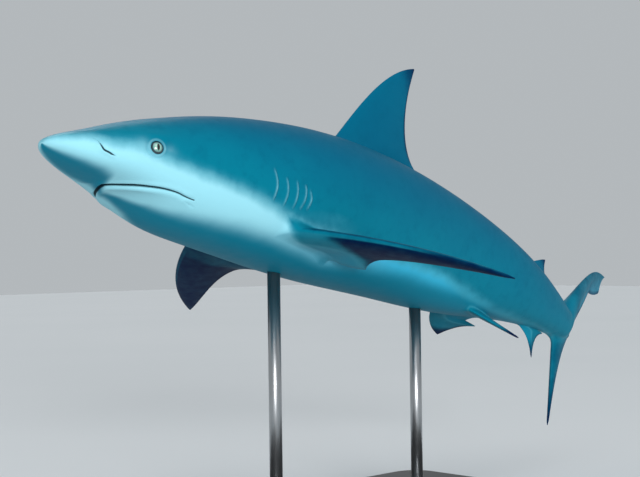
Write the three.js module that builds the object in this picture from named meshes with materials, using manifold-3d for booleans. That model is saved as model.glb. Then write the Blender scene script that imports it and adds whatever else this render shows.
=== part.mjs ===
// Life-size model of an adult female Caribbean reef shark, swimming with its head
// drooped a little and its tail swung to its right, held by a flat base with two rods.
//
// Units are millimetres, +Z is up, the nose points towards -X and the shark's left
// side faces -Y. The origin is the centre of the underside of the stand's base.
//
// The shark is first described in a straight frame: x runs back from the nose tip,
// y is negative on the shark's left, z is up. The spine then bends that frame, and the
// pose group lifts and tips the bent shark on to its stand.

import * as THREE from 'three';
import { mergeVertices } from 'three/addons/utils/BufferGeometryUtils.js';
import Module from 'manifold-3d';

const wasm = await Module();
wasm.setup();

// ---------------------------------------------------------------- driving dimensions

const TOTAL_LENGTH = 2000;
const GAP = 0.3; // clearance between neighbouring pieces

// pose
const NOSE_UP_DEG = 16.7; // slope of the mid body
const POSE_POSITION = new THREE.Vector3(-650, 0, 775); // nose point of the unbent axis
const HEAD_PITCH = 0.146; // heading of the head below the mid body, radians
const TAIL_PITCH = -0.115;
const PITCH_FROM = 290; // stretch of the spine over which the pitch changes
const PITCH_TO = 1610;
const TAIL_YAW = 0.5075; // heading of the tail, radians
const YAW_FROM = 1080;
const YAW_TO = 1890;
const TIP_YAW = 0.13; // turn of the tail fin's tip back towards the left, radians
const TIP_FROM = 1620;
const TIP_TO = 1980;
const HEAD_ROLL = 0.093; // turn of the head about its axis, left side up, radians
const ROLL_FROM = 230; // stretch over which the roll dies away
const ROLL_TO = 428;
const STRAIGHT_POINT = 600; // this point of the axis stays where it is

// girth: distance from the nose, half width, height of the back and depth of the belly
// above and below the axis, and height of the widest line
const GIRTH = [
  { at: 0, side: 0, back: 0, belly: 0, widest: 0 },
  { at: 24, side: 39, back: 19.5, belly: 17.3, widest: 0 },
  { at: 70, side: 64.5, back: 36.7, belly: 32.2, widest: -3.4 },
  { at: 140, side: 95.7, back: 62.7, belly: 54, widest: -4.3 },
  { at: 220, side: 115.1, back: 85.5, belly: 94.8, widest: -3.6 },
  { at: 320, side: 134, back: 108.9, belly: 116.2, widest: 0 },
  { at: 440, side: 146, back: 127, belly: 131.5, widest: 0 },
  { at: 600, side: 144.5, back: 136, belly: 144.5, widest: 0 },
  { at: 800, side: 123, back: 129, belly: 142, widest: 0 },
  { at: 1000, side: 95.5, back: 110.5, belly: 128, widest: 0 },
  { at: 1200, side: 71.5, back: 84.5, belly: 88.5, widest: 0 },
  { at: 1380, side: 45.5, back: 57.5, belly: 53, widest: 0 },
  { at: 1500, side: 33, back: 44, belly: 35, widest: 0 },
];
const SQUARENESS = 0.03; // how far the sections fill out beyond an ellipse
const BODY_END = 1500; // the tail fin begins here

// partings of the body: distance from the nose on the axis, and rearward lean of the
// cut for each mm of height
const PARTINGS = [
  { at: 476, lean: 0.25 },
  { at: 900, lean: 0 },
  { at: 1235, lean: 0 },
  { at: 1497, lean: 0 },
];
const BODY_NODES = ['head', 'trunk_front', 'trunk_rear', 'tail_stock', 'caudal_upper_lobe'];

// upper lobe of the tail fin, in the straight frame: x and z
const UPPER_LOBE = {
  dorsalMargin: [[1500, 44], [1566, 122], [1682, 238], [1885, 267]],
  underside: [[1500, -35], [1525, -30], [1556, -14], [1576, 5]],
  rearMargin: [[1576, 5], [1600, 50], [1655, 95], [1703, 157]],
  tipUnderside: [[1703, 157], [1748, 166], [1800, 184], [1842, 206]],
  tipRear: [[1842, 206], [1839, 226], [1850, 250], [1885, 267]],
  forkAt: 0.28, // shares of the lobe's length at which its lower edge turns
  notchAt: 0.66,
  cornerAt: 0.9,
  halfThickness: [33, 19, 10, 5, 2.2],
};

// fins whose outline lies in the shark's middle plane or in a plane of their own:
// [along, out] from the fin's origin
const FIRST_DORSAL = {
  origin: 632,
  front: [[0, 0], [50, 70], [112, 184], [192, 217]],
  inner: [[170, 0], [250, 10]],
  rear: [[250, 10], [192, 24], [170, 112], [192, 217]],
  halfThickness: 9,
  root: 30,
};
const SECOND_DORSAL = {
  origin: 1272,
  front: [[0, 0], [32, 12], [60, 39], [83, 47]],
  inner: [[76, 0], [122, 5]],
  rear: [[122, 5], [92, 9], [80, 25], [83, 47]],
  halfThickness: 4,
  root: 16,
};
const ANAL = {
  origin: 1296,
  front: [[0, 0], [34, 12], [62, 28], [89, 68]],
  inner: [[80, 0], [124, 4]],
  rear: [[124, 4], [84, 8], [78, 30], [89, 68]],
  halfThickness: 4,
  root: 16,
};
const PECTORAL = {
  origin: 428.5,
  front: [[0, 0], [29, 124], [124, 268], [231, 334]],
  inner: [[115, 0], [194, 44]],
  rear: [[194, 44], [120, 95], [190, 215], [231, 334]],
  halfThickness: 13,
  root: 60,
  curl: 17, // how far the free rear tip curls down
};
const PELVIC = {
  origin: 1045,
  front: [[0, 0], [22, 36], [60, 70], [102, 82]],
  inner: [[104, 0], [146, 5]],
  rear: [[146, 5], [112, 16], [104, 46], [102, 82]],
  halfThickness: 6,
  root: 34,
};
const LOWER_LOBE = {
  front: [[1466, -26], [1500, -110], [1532, -186], [1550, -234]],
  inner: [[1584, 2], [1572, -8]],
  rear: [[1572, -8], [1535, -60], [1534, -140], [1550, -234]],
  halfThickness: 9,
  split: 0.06,
};
const FIN_SPLIT = 0.22; // share of the span given to the free rear tip
const FIN_EDGE = 0.8; // half thickness of the trailing edge

// attitude of the paired fins, in radians: root angle round the body from the back,
// droop below the horizontal, leading edge up, swept back, and bend towards the tip
const PECTORAL_LEFT = { side: -1, round: 2.14, droop: -0.05, lift: 0.174, sweep: 0.178, bend: 0.042 };
const PECTORAL_RIGHT = { side: 1, round: 2.14, droop: 0.348, lift: 0.134, sweep: 0.068, bend: -0.103 };
const PELVIC_LEFT = { side: -1, round: 2.62, droop: 0.4, lift: 0.05, sweep: 0.12, bend: 0 };
const PELVIC_RIGHT = { side: 1, round: 2.62, droop: 0.4, lift: 0.05, sweep: 0.12, bend: 0 };

// head
const EYE = { at: 152.8, round: 1.421, radius: 16, depth: 12.5 };
const MOUTH = { front: [122, -47], middle: [177, -55], corner: [233, -67] }; // x and z
const THROAT = [330, -160]; // x and z, below the skin, to which the lower jaw is cut back
const GILLS = {
  count: 5,
  firstAt: 374,
  spacing: 19.5,
  top: [1.44, 1.59],
  bottom: [1.86, 1.86],
  depth: 4,
  halfWidth: 0.7,
  lean: 8,
};

// stand
const BASE = { length: 900, width: 440, height: 20, corner: 60, chamfer: 3 };
const ROD_RADIUS = 12;
const ROD_POSITIONS = [-175, 215];
const COLLAR = { radius: 32, neck: 17, height: 14 };

// fineness
const AROUND_BODY = 28;
const CHORD_STEPS = 7;
const SPAN_STEPS = 10;

// ---------------------------------------------------------------- small mathematics

/** Natural cubic spline through the given knots. */
function cubicSpline(knots, values) {
  const last = knots.length - 1;
  const diagonal = new Array(last + 1).fill(1);
  const upper = new Array(last + 1).fill(0);
  const second = new Array(last + 1).fill(0);
  for (let i = 1; i < last; i += 1) {
    const before = knots[i] - knots[i - 1];
    const after = knots[i + 1] - knots[i];
    const turn = (values[i + 1] - values[i]) / after - (values[i] - values[i - 1]) / before;
    diagonal[i] = 2 * (before + after) - before * upper[i - 1];
    upper[i] = after / diagonal[i];
    second[i] = (6 * turn - before * second[i - 1]) / diagonal[i];
  }
  second[last] = 0;
  for (let i = last - 1; i > 0; i -= 1) {
    second[i] -= upper[i] * second[i + 1];
  }
  return (x) => {
    let i = 0;
    while (i < last - 1 && x > knots[i + 1]) {
      i += 1;
    }
    const step = knots[i + 1] - knots[i];
    const t = x - knots[i];
    const slope = (values[i + 1] - values[i]) / step - (step * (2 * second[i] + second[i + 1])) / 6;
    return values[i] + t * (slope + t * (second[i] / 2 + (t * (second[i + 1] - second[i])) / (6 * step)));
  };
}

/** Plane cubic Bezier curve through four control points. */
function bezier(points) {
  const [a, b, c, d] = points.map(([x, y]) => new THREE.Vector2(x, y));
  const curve = new THREE.CubicBezierCurve(a, b, c, d);
  return (t) => curve.getPoint(t);
}

const { clamp, lerp, smoothstep } = THREE.MathUtils;

// ---------------------------------------------------------------- spine

/** Headings of the spine at a distance from the nose. */
function headings(at) {
  const yaw = TAIL_YAW * smoothstep(at, YAW_FROM, YAW_TO) - TIP_YAW * smoothstep(at, TIP_FROM, TIP_TO);
  const pitch = HEAD_PITCH + (TAIL_PITCH - HEAD_PITCH) * smoothstep(at, PITCH_FROM, PITCH_TO);
  const roll = HEAD_ROLL * (1 - smoothstep(at, ROLL_FROM, ROLL_TO));
  return { yaw, pitch, roll };
}

/** Direction of the spine for the given headings. */
function forward({ yaw, pitch }) {
  return new THREE.Vector3(
    Math.cos(yaw) * Math.cos(pitch),
    Math.sin(yaw) * Math.cos(pitch),
    Math.sin(pitch),
  );
}

const SPINE_STEP = 5;
const SPINE = [new THREE.Vector3()];
for (let at = 0; at < TOTAL_LENGTH; at += SPINE_STEP) {
  const step = forward(headings(at + SPINE_STEP / 2)).multiplyScalar(SPINE_STEP);
  SPINE.push(SPINE[SPINE.length - 1].clone().add(step));
}
const SPINE_SHIFT = new THREE.Vector3(STRAIGHT_POINT, 0, 0).sub(SPINE[STRAIGHT_POINT / SPINE_STEP]);

/** Frame of the bent spine at a distance from the nose: x along, y right, z up. */
function spineFrame(at) {
  const place = clamp(at, 0, TOTAL_LENGTH - SPINE_STEP) / SPINE_STEP;
  const i = Math.floor(place);
  const origin = SPINE[i].clone().lerp(SPINE[i + 1], place - i).add(SPINE_SHIFT);
  const heading = headings(at);
  const along = forward(heading);
  origin.addScaledVector(along, Math.min(at, 0));
  const right = new THREE.Vector3(-Math.sin(heading.yaw), Math.cos(heading.yaw), 0);
  right.applyAxisAngle(along, -heading.roll);
  const up = along.clone().cross(right);
  return new THREE.Matrix4().makeBasis(along, right, up).setPosition(origin);
}

/** Moves a point of the straight frame to the bent frame. */
function bend(point) {
  return new THREE.Vector3(0, point.y, point.z).applyMatrix4(spineFrame(point.x));
}

// ---------------------------------------------------------------- body surface

const rootKnots = GIRTH.map((row) => Math.sqrt(row.at));
const sideAt = cubicSpline(rootKnots, GIRTH.map((row) => row.side));
const backAt = cubicSpline(rootKnots, GIRTH.map((row) => row.back));
const bellyAt = cubicSpline(rootKnots, GIRTH.map((row) => row.belly));
const widestAt = cubicSpline(rootKnots, GIRTH.map((row) => row.widest));

/**
 * Point of the body's surface in the straight frame. The angle round the body is 0 on
 * the back, a quarter turn on the left side and half a turn on the belly; grow moves
 * the surface outwards.
 */
function bodyPoint(at, round, grow = 0) {
  const root = Math.sqrt(Math.max(at, 0));
  const side = sideAt(root) + grow;
  const back = backAt(root) + grow;
  const belly = bellyAt(root) + grow;
  const square = SQUARENESS * (1 - smoothstep(at, BODY_END - 200, BODY_END));
  const mean = (back + belly) / 2;
  const lift = (back - belly) / 2;
  const y = (-side * (Math.sin(round) + square * Math.sin(3 * round))) / (1 - square);
  const z = (mean * (Math.cos(round) - square * Math.cos(3 * round))) / (1 - square);
  const shift = lift * Math.cos(round) ** 2 + widestAt(root) * Math.sin(round) ** 2;
  return new THREE.Vector3(at, y, z + shift);
}

const dorsalMargin = bezier(UPPER_LOBE.dorsalMargin);
const lobeUnderside = bezier(UPPER_LOBE.underside);
const lobeRearMargin = bezier(UPPER_LOBE.rearMargin);
const tipUnderside = bezier(UPPER_LOBE.tipUnderside);
const tipRear = bezier(UPPER_LOBE.tipRear);
const lobeThickness = cubicSpline([0, 0.25, 0.5, 0.75, 1], UPPER_LOBE.halfThickness);

/** Lower edge of the tail fin's upper lobe at a share of its length. */
function lobeLowerEdge(share) {
  const { forkAt, notchAt, cornerAt } = UPPER_LOBE;
  if (share < forkAt) {
    return lobeUnderside(share / forkAt);
  }
  if (share < notchAt) {
    return lobeRearMargin((share - forkAt) / (notchAt - forkAt));
  }
  if (share < cornerAt) {
    return tipUnderside((share - notchAt) / (cornerAt - notchAt));
  }
  return tipRear((share - cornerAt) / (1 - cornerAt));
}

/** Point of the upper lobe's surface: share of its length and angle round it. */
function lobePoint(share, round, grow = 0) {
  const top = dorsalMargin(share);
  const bottom = lobeLowerEdge(share);
  const down = (1 - Math.cos(round)) / 2;
  const spread = smoothstep(share, 0, 0.45);
  const web = lerp(1, 1 - 0.72 * smoothstep(down, 0.2, 0.75), spread);
  const half = Math.max(lobeThickness(share) * web, 1) + grow;
  const edge = bottom.clone().sub(top).normalize().multiplyScalar(grow);
  const x = lerp(top.x - edge.x, bottom.x + edge.x, down);
  const z = lerp(top.y - edge.y, bottom.y + edge.y, down);
  return new THREE.Vector3(x, -half * Math.sin(round), z);
}

// ---------------------------------------------------------------- building solids

/** Closed geometry through rings of points, with a fan over each end. */
function loft(rings) {
  const count = rings[0].length;
  const middle = (ring) => ring.reduce((sum, p) => sum.add(p), new THREE.Vector3()).divideScalar(count);
  const points = [...rings.flat(), middle(rings[0]), middle(rings[rings.length - 1])];
  const first = points.length - 2;
  const lastRing = (rings.length - 1) * count;
  const index = [];
  for (let j = 0; j < count; j += 1) {
    const k = (j + 1) % count;
    for (let i = 0; i < rings.length - 1; i += 1) {
      const here = i * count;
      const next = here + count;
      index.push(here + j, next + j, next + k, here + j, next + k, here + k);
    }
    index.push(first, j, k, first + 1, lastRing + k, lastRing + j);
  }
  const geometry = new THREE.BufferGeometry().setFromPoints(points);
  geometry.setIndex(index);
  if (signedVolume(geometry) < 0) {
    geometry.setIndex(index.reverse());
  }
  return geometry;
}

/** Volume enclosed by a geometry, negative when its faces point inwards. */
function signedVolume(geometry) {
  const { index, attributes } = geometry;
  const corner = (i) => new THREE.Vector3().fromBufferAttribute(attributes.position, index.getX(i));
  let volume = 0;
  for (let i = 0; i < index.count; i += 3) {
    volume += corner(i).dot(corner(i + 1).cross(corner(i + 2))) / 6;
  }
  return volume;
}

/** Solid for cutting and joining, from a closed geometry and an optional matrix. */
function toSolid(geometry, matrix = null) {
  const bare = new THREE.BufferGeometry();
  bare.setAttribute('position', geometry.attributes.position.clone());
  bare.setIndex(geometry.index);
  if (matrix) {
    bare.applyMatrix4(matrix);
  }
  const merged = mergeVertices(bare, 1e-4);
  const mesh = new wasm.Mesh({
    numProp: 3,
    vertProperties: new Float32Array(merged.attributes.position.array),
    triVerts: new Uint32Array(merged.index.array),
  });
  return new wasm.Manifold(mesh);
}

/** Geometry of a solid. */
function toGeometry(solid) {
  const mesh = solid.getMesh();
  const geometry = new THREE.BufferGeometry();
  geometry.setAttribute('position', new THREE.BufferAttribute(new Float32Array(mesh.vertProperties), 3));
  geometry.setIndex(new THREE.BufferAttribute(new Uint32Array(mesh.triVerts), 1));
  return geometry;
}

/** The whole body from the nose to the tip of the tail fin's upper lobe. */
function bodyGeometry(grow = 0) {
  const angles = Array.from({ length: AROUND_BODY }, (_, i) => (i / AROUND_BODY) * 2 * Math.PI);
  const rings = [];
  const lengthSteps = 34;
  for (let i = 0; i < lengthSteps; i += 1) {
    const root = lerp(Math.sqrt(1.5), Math.sqrt(BODY_END), i / lengthSteps);
    rings.push(angles.map((round) => bend(bodyPoint(root ** 2, round, grow))));
  }
  const { forkAt, notchAt, cornerAt } = UPPER_LOBE;
  const toFork = [0, forkAt / 3, (forkAt * 2) / 3, forkAt];
  const stops = [...toFork, 0.38, 0.48, 0.58, notchAt, 0.73, 0.82, cornerAt, 0.94, 0.985];
  for (const share of stops) {
    rings.push(angles.map((round) => bend(lobePoint(share, round, grow))));
  }
  return loft(rings);
}

/** Outline and thickness of a fin, with the two edges it runs between. */
class Fin {
  constructor(sizes) {
    this.front = bezier(sizes.front);
    this.rear = bezier(sizes.rear);
    this.inner = sizes.inner.map(([x, y]) => new THREE.Vector2(x, y));
    this.split = sizes.split ?? FIN_SPLIT;
    this.halfThickness = sizes.halfThickness;
    this.root = sizes.root ?? 0;
  }

  /** Point of the outline plane: share of the chord, share of the span. */
  plan(chord, span) {
    const from = this.front(span);
    const to =
      span < this.split
        ? this.inner[0].clone().lerp(this.inner[1], span / this.split)
        : this.rear((span - this.split) / (1 - this.split));
    return from.lerp(to, chord);
  }

  /** Half thickness at a share of the chord and of the span. */
  half(chord, span) {
    const foil = 2.6 * Math.sqrt(chord) * (1 - chord);
    const taper = 1 - 0.85 * clamp(span, 0, 1);
    return this.halfThickness * taper * foil + FIN_EDGE * Math.min(1, chord * 12);
  }

  /** Closed geometry; place(along, out, off) gives a point of the bent frame. */
  geometry(place) {
    const chords = Array.from({ length: CHORD_STEPS + 1 }, (_, i) => (i / CHORD_STEPS) ** 1.5);
    const spans = Array.from({ length: SPAN_STEPS + 1 }, (_, i) => Math.min(i / SPAN_STEPS, 0.985));
    const ringAt = (span, out) => {
      const upper = chords.map((chord) => [chord, 1]);
      const lower = chords.slice(1).reverse().map((chord) => [chord, -1]);
      return [...upper, ...lower].map(([chord, sign]) => {
        const p = this.plan(chord, span);
        return place(p.x, p.y + out, sign * this.half(chord, span));
      });
    };
    const rings = spans.map((span) => ringAt(span, 0));
    if (this.root > 0) {
      rings.unshift(ringAt(0, -this.root));
    }
    return loft(rings);
  }
}

/** Places a fin of the middle plane above the back (side 1) or below the belly (-1). */
function middlePlane(origin, side) {
  const edge = side > 0 ? backAt : bellyAt;
  return (along, out, off) => {
    const at = origin + along;
    const height = edge(Math.sqrt(Math.min(at, BODY_END)));
    return bend(new THREE.Vector3(at, off, side * (height + out)));
  };
}

/** Places a paired fin on the flank, in a plane of its own. */
function flankPlane(sizes, attitude) {
  const { side, round, droop, lift, sweep } = attitude;
  const root = bodyPoint(sizes.origin, round);
  root.y = side * Math.abs(root.y);
  const out = new THREE.Vector3(0, side * Math.cos(droop), -Math.sin(droop));
  const along = new THREE.Vector3(1, 0, 0);
  const off = along.clone().cross(out);
  if (off.z < 0) {
    off.negate();
  }
  const chord = along.clone().multiplyScalar(Math.cos(lift)).addScaledVector(off, -Math.sin(lift));
  const face = off.clone().multiplyScalar(Math.cos(lift)).addScaledVector(along, Math.sin(lift));
  const chordSwept = chord.clone().multiplyScalar(Math.cos(sweep)).addScaledVector(out, -Math.sin(sweep));
  const spanSwept = out.clone().multiplyScalar(Math.cos(sweep)).addScaledVector(chord, Math.sin(sweep));
  return (alongFin, outFin, offFin) => {
    const bow = -attitude.bend * 200 * (outFin / 320) ** 2;
    const curl = (sizes.curl ?? 0) * smoothstep(alongFin, 90, 160) * (1 - smoothstep(outFin, 0, 95));
    const point = root.clone();
    point.addScaledVector(chordSwept, alongFin);
    point.addScaledVector(spanSwept, outFin);
    point.addScaledVector(face, offFin + bow - curl);
    return bend(point);
  };
}

/** Box far larger than the shark, behind (1) or in front (-1) of a parting, and over its gap. */
function halfSpace(parting, side) {
  const reach = 4000;
  const box = new THREE.BoxGeometry(reach, reach, reach).translate(side * (reach / 2 - GAP / 2), 0, 0);
  box.applyMatrix4(new THREE.Matrix4().makeRotationY(Math.atan(parting.lean)));
  return toSolid(box, spineFrame(parting.at));
}

/** Wedge under the mouth line that holds the lower jaw. */
function jawWedge(grow) {
  const { front, middle, corner } = MOUTH;
  const outline = new THREE.Shape([
    new THREE.Vector2(front[0] - 40, front[1] + grow),
    new THREE.Vector2(front[0], front[1] + grow),
    new THREE.Vector2(middle[0], middle[1] + grow),
    new THREE.Vector2(corner[0] + grow, corner[1] + grow),
    new THREE.Vector2(corner[0] + 34 + grow, corner[1] - 16 + grow),
    new THREE.Vector2(THROAT[0] + grow, THROAT[1]),
    new THREE.Vector2(front[0] - 40, THROAT[1]),
  ]);
  const wedge = new THREE.ExtrudeGeometry(outline, { depth: 400, bevelEnabled: false });
  wedge.translate(0, 0, -200);
  wedge.applyMatrix4(new THREE.Matrix4().makeRotationX(Math.PI / 2));
  return toSolid(wedge, spineFrame(0));
}

/** Middle of an eyeball in the bent frame. */
function eyeCentre(side) {
  const rearward = bodyPoint(EYE.at + 4, EYE.round).sub(bodyPoint(EYE.at - 4, EYE.round));
  const downward = bodyPoint(EYE.at, EYE.round + 0.05).sub(bodyPoint(EYE.at, EYE.round - 0.05));
  const inward = rearward.cross(downward).normalize();
  const centre = bodyPoint(EYE.at, EYE.round).addScaledVector(inward, EYE.depth);
  centre.y *= -side;
  return bend(centre);
}

/** Curved blade that cuts one gill slit. */
function gillBlade(index, side) {
  const at = GILLS.firstAt + GILLS.spacing * index;
  const share = index / (GILLS.count - 1);
  const top = lerp(GILLS.top[0], GILLS.top[1], share);
  const bottom = lerp(GILLS.bottom[0], GILLS.bottom[1], share);
  const steps = 3;
  const rings = [];
  for (let i = 0; i <= steps; i += 1) {
    const down = i / steps;
    const round = -side * lerp(top, bottom, down);
    const bow = at + GILLS.lean * Math.sin(Math.PI * down);
    const corners = [[-1, 3], [1, 3], [1, -GILLS.depth], [-1, -GILLS.depth]];
    rings.push(corners.map(([edge, grow]) => bend(bodyPoint(bow + edge * GILLS.halfWidth, round, grow))));
  }
  return toSolid(loft(rings));
}

// ---------------------------------------------------------------- materials

/** Plain material with a colour, a roughness and a metalness. */
function material(color, roughness, metalness = 0) {
  return new THREE.MeshStandardMaterial({ color, roughness, metalness });
}

const backSkin = material(0x2f6f86, 0.55);
const sideSkin = material(0x5fa0ae, 0.55);
const paleSkin = material(0xb9dde2, 0.55);
const finSkin = material(0x2a6379, 0.55);
const eyeGloss = material(0x9fb39a, 0.1);
const basePaint = material(0x2b2d2f, 0.6);
const rodSteel = material(0xb8babd, 0.3, 1);

// ---------------------------------------------------------------- the shark

const pose = new THREE.Group();
pose.position.copy(POSE_POSITION);
pose.rotation.y = THREE.MathUtils.degToRad(NOSE_UP_DEG);
pose.updateMatrix();

/** Adds a solid of the bent frame as a mesh standing at its own reference point. */
function addMesh(group, name, solid, finish, reference) {
  const geometry = toGeometry(solid).translate(-reference.x, -reference.y, -reference.z);
  const mesh = new THREE.Mesh(geometry, finish);
  mesh.name = name;
  mesh.position.copy(reference);
  group.add(mesh);
  return mesh;
}

const wholeBody = toSolid(bodyGeometry());
const clearBody = toSolid(bodyGeometry(GAP));
const bodyFinish = [sideSkin, sideSkin, sideSkin, sideSkin, finSkin];

const eyes = [-1, 1].map((side) => {
  const centre = eyeCentre(side);
  const ball = new THREE.SphereGeometry(EYE.radius, 16, 10);
  const socket = new THREE.SphereGeometry(EYE.radius + GAP, 16, 10);
  const place = new THREE.Matrix4().setPosition(centre);
  return { side, centre, ball: toSolid(ball, place), socket: toSolid(socket, place) };
});

const lengths = BODY_NODES.map((name, i) => {
  let solid = wholeBody;
  if (i > 0) {
    solid = solid.subtract(halfSpace(PARTINGS[i - 1], -1));
  }
  if (i < PARTINGS.length) {
    solid = solid.subtract(halfSpace(PARTINGS[i], 1));
  }
  return solid;
});

for (const side of [-1, 1]) {
  for (let index = 0; index < GILLS.count; index += 1) {
    lengths[0] = lengths[0].subtract(gillBlade(index, side));
  }
}
for (const { socket } of eyes) {
  lengths[0] = lengths[0].subtract(socket);
}
const jaw = lengths[0].intersect(jawWedge(0));
lengths[0] = lengths[0].subtract(jawWedge(GAP));

BODY_NODES.forEach((name, i) => {
  const at = i === 0 ? 0 : PARTINGS[i - 1].at;
  addMesh(pose, name, lengths[i], bodyFinish[i], bend(new THREE.Vector3(at, 0, 0)));
});
addMesh(pose, 'lower_jaw', jaw, paleSkin, bend(new THREE.Vector3(MOUTH.front[0], 0, MOUTH.front[1])));
for (const { side, centre, ball } of eyes) {
  addMesh(pose, side < 0 ? 'eye_left' : 'eye_right', ball, eyeGloss, centre);
}

/** Adds a fin, cut clear of the body. */
function addFin(name, sizes, place) {
  const solid = toSolid(new Fin(sizes).geometry(place)).subtract(clearBody);
  addMesh(pose, name, solid, finSkin, place(0, 0, 0));
}

addFin('first_dorsal_fin', FIRST_DORSAL, middlePlane(FIRST_DORSAL.origin, 1));
addFin('second_dorsal_fin', SECOND_DORSAL, middlePlane(SECOND_DORSAL.origin, 1));
addFin('anal_fin', ANAL, middlePlane(ANAL.origin, -1));
addFin('pectoral_fin_left', PECTORAL, flankPlane(PECTORAL, PECTORAL_LEFT));
addFin('pectoral_fin_right', PECTORAL, flankPlane(PECTORAL, PECTORAL_RIGHT));
addFin('pelvic_fin_left', PELVIC, flankPlane(PELVIC, PELVIC_LEFT));
addFin('pelvic_fin_right', PELVIC, flankPlane(PELVIC, PELVIC_RIGHT));

const lowerLobe = toSolid(new Fin(LOWER_LOBE).geometry((x, z, off) => bend(new THREE.Vector3(x, off, z))));
const lobeRoot = bend(new THREE.Vector3(BODY_END, 0, -bellyAt(Math.sqrt(BODY_END))));
addMesh(pose, 'caudal_lower_lobe', lowerLobe.subtract(clearBody), finSkin, lobeRoot);

// ---------------------------------------------------------------- the stand

const shark = new THREE.Group();
shark.add(pose);

/** Outline of the base: a rectangle with round corners. */
function baseOutline() {
  const halfLength = BASE.length / 2 - BASE.chamfer;
  const halfWidth = BASE.width / 2 - BASE.chamfer;
  const radius = BASE.corner - BASE.chamfer;
  const outline = new THREE.Shape();
  outline.absarc(halfLength - radius, halfWidth - radius, radius, 0, Math.PI / 2);
  outline.absarc(-halfLength + radius, halfWidth - radius, radius, Math.PI / 2, Math.PI);
  outline.absarc(-halfLength + radius, -halfWidth + radius, radius, Math.PI, (3 * Math.PI) / 2);
  outline.absarc(halfLength - radius, -halfWidth + radius, radius, (3 * Math.PI) / 2, 2 * Math.PI);
  return outline;
}

const slab = new THREE.ExtrudeGeometry(baseOutline(), {
  depth: BASE.height - 2 * BASE.chamfer,
  bevelEnabled: true,
  bevelThickness: BASE.chamfer,
  bevelSize: BASE.chamfer,
  bevelSegments: 1,
  curveSegments: 6,
});
slab.translate(0, 0, BASE.chamfer);
const base = new THREE.Mesh(slab, basePaint);
base.name = 'stand_base';
shark.add(base);

const bodyInPlace = toSolid(bodyGeometry(GAP), pose.matrix);
const collarOutline = [
  [ROD_RADIUS + GAP, 0],
  [COLLAR.radius, 0],
  [COLLAR.radius, 4],
  [COLLAR.neck + 2, COLLAR.height - 2],
  [COLLAR.neck, COLLAR.height],
  [ROD_RADIUS + GAP, COLLAR.height],
  [ROD_RADIUS + GAP, 0],
].map(([x, y]) => new THREE.Vector2(x, y));

['front', 'rear'].forEach((which, i) => {
  const foot = new THREE.Vector3(ROD_POSITIONS[i], 0, BASE.height);
  const reach = 600;
  const bar = new THREE.CylinderGeometry(ROD_RADIUS, ROD_RADIUS, reach, 20);
  bar.rotateX(Math.PI / 2).translate(foot.x, foot.y, foot.z + reach / 2);
  const rod = toSolid(bar).subtract(bodyInPlace);
  const lowest = rod.decompose().reduce((a, b) => (a.boundingBox().min[2] < b.boundingBox().min[2] ? a : b));
  addMesh(shark, `stand_rod_${which}`, lowest, rodSteel, foot);

  const ring = new THREE.LatheGeometry(collarOutline, 20).rotateX(Math.PI / 2);
  const collar = new THREE.Mesh(ring, rodSteel);
  collar.name = `stand_collar_${which}`;
  collar.position.copy(foot);
  shark.add(collar);
});

export default shark;
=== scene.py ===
"""Looks of a life-size model of a Caribbean reef shark: one skin, two eyes and a display stand.

Sizes are millimetres until a mesh is placed in the scene, where they become metres. The
shark is shaped in a straight frame: x runs back from the nose tip, y is negative on the
shark's left, z is up. The spine then bends that frame and the pose tips it on to its stand.

The skin is drawn on a flat sheet whose two directions are the station, which is the
distance back from the nose, and the turn, which is the angle round the body: 0 on the
back, a quarter turn on the left flank and half a turn on the belly.
"""

import logging
import math
from dataclasses import dataclass, field
from enum import Enum

import bmesh
import bpy
import numpy as np
from bmesh.types import BMEdge, BMesh, BMFace, BMVert
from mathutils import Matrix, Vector


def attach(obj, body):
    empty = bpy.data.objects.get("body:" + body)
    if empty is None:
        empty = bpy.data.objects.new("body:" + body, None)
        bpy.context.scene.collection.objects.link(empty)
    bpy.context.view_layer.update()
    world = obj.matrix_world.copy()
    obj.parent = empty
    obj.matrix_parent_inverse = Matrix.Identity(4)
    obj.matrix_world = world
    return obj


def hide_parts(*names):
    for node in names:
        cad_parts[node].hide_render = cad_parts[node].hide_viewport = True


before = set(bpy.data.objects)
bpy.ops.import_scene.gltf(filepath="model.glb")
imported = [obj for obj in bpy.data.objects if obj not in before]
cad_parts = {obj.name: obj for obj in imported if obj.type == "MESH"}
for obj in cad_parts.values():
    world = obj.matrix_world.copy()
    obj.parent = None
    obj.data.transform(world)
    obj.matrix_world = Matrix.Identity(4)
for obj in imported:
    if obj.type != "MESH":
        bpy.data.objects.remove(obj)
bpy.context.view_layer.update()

Array = np.ndarray
Plane = tuple[tuple[float, float], ...]
Place = tuple[float, float, float]
Band = tuple[float, float, float]
Paint = tuple[float, float, float, float]
Layers = dict[str, bmesh.types.BMLayerItem]

MM = 0.001
FULL_TURN = 2 * math.pi
LEFT, RIGHT = -1.0, 1.0

log = logging.getLogger("reef_shark")


# ------------------------------------------------------------------ small mathematics


def smoothstep(value: Array, low: float, high: float) -> Array:
    """Smooth rise from 0 where the value is low to 1 where it is high."""
    share = np.clip((value - low) / (high - low), 0.0, 1.0)
    return share * share * (3.0 - 2.0 * share)


def bump(value: Array, middle: float, width: float) -> Array:
    """Round hill of height 1, fallen to a third at one width from its middle."""
    return np.exp(-(((value - middle) / width) ** 2))


def to_left(points: Array) -> Array:
    """Points with those on the shark's right mirrored on to its left."""
    return points * (1.0, 0.0, 1.0) - np.abs(points) * (0.0, 1.0, 0.0)


@dataclass(frozen=True)
class Hill:
    """Round hill, or a hollow where its height is negative, across a line."""

    middle: float
    width: float
    height: float = 1.0

    def at(self, value: Array) -> Array:
        """Height at distances measured across the line."""
        return self.height * bump(value, self.middle, self.width)


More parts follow.
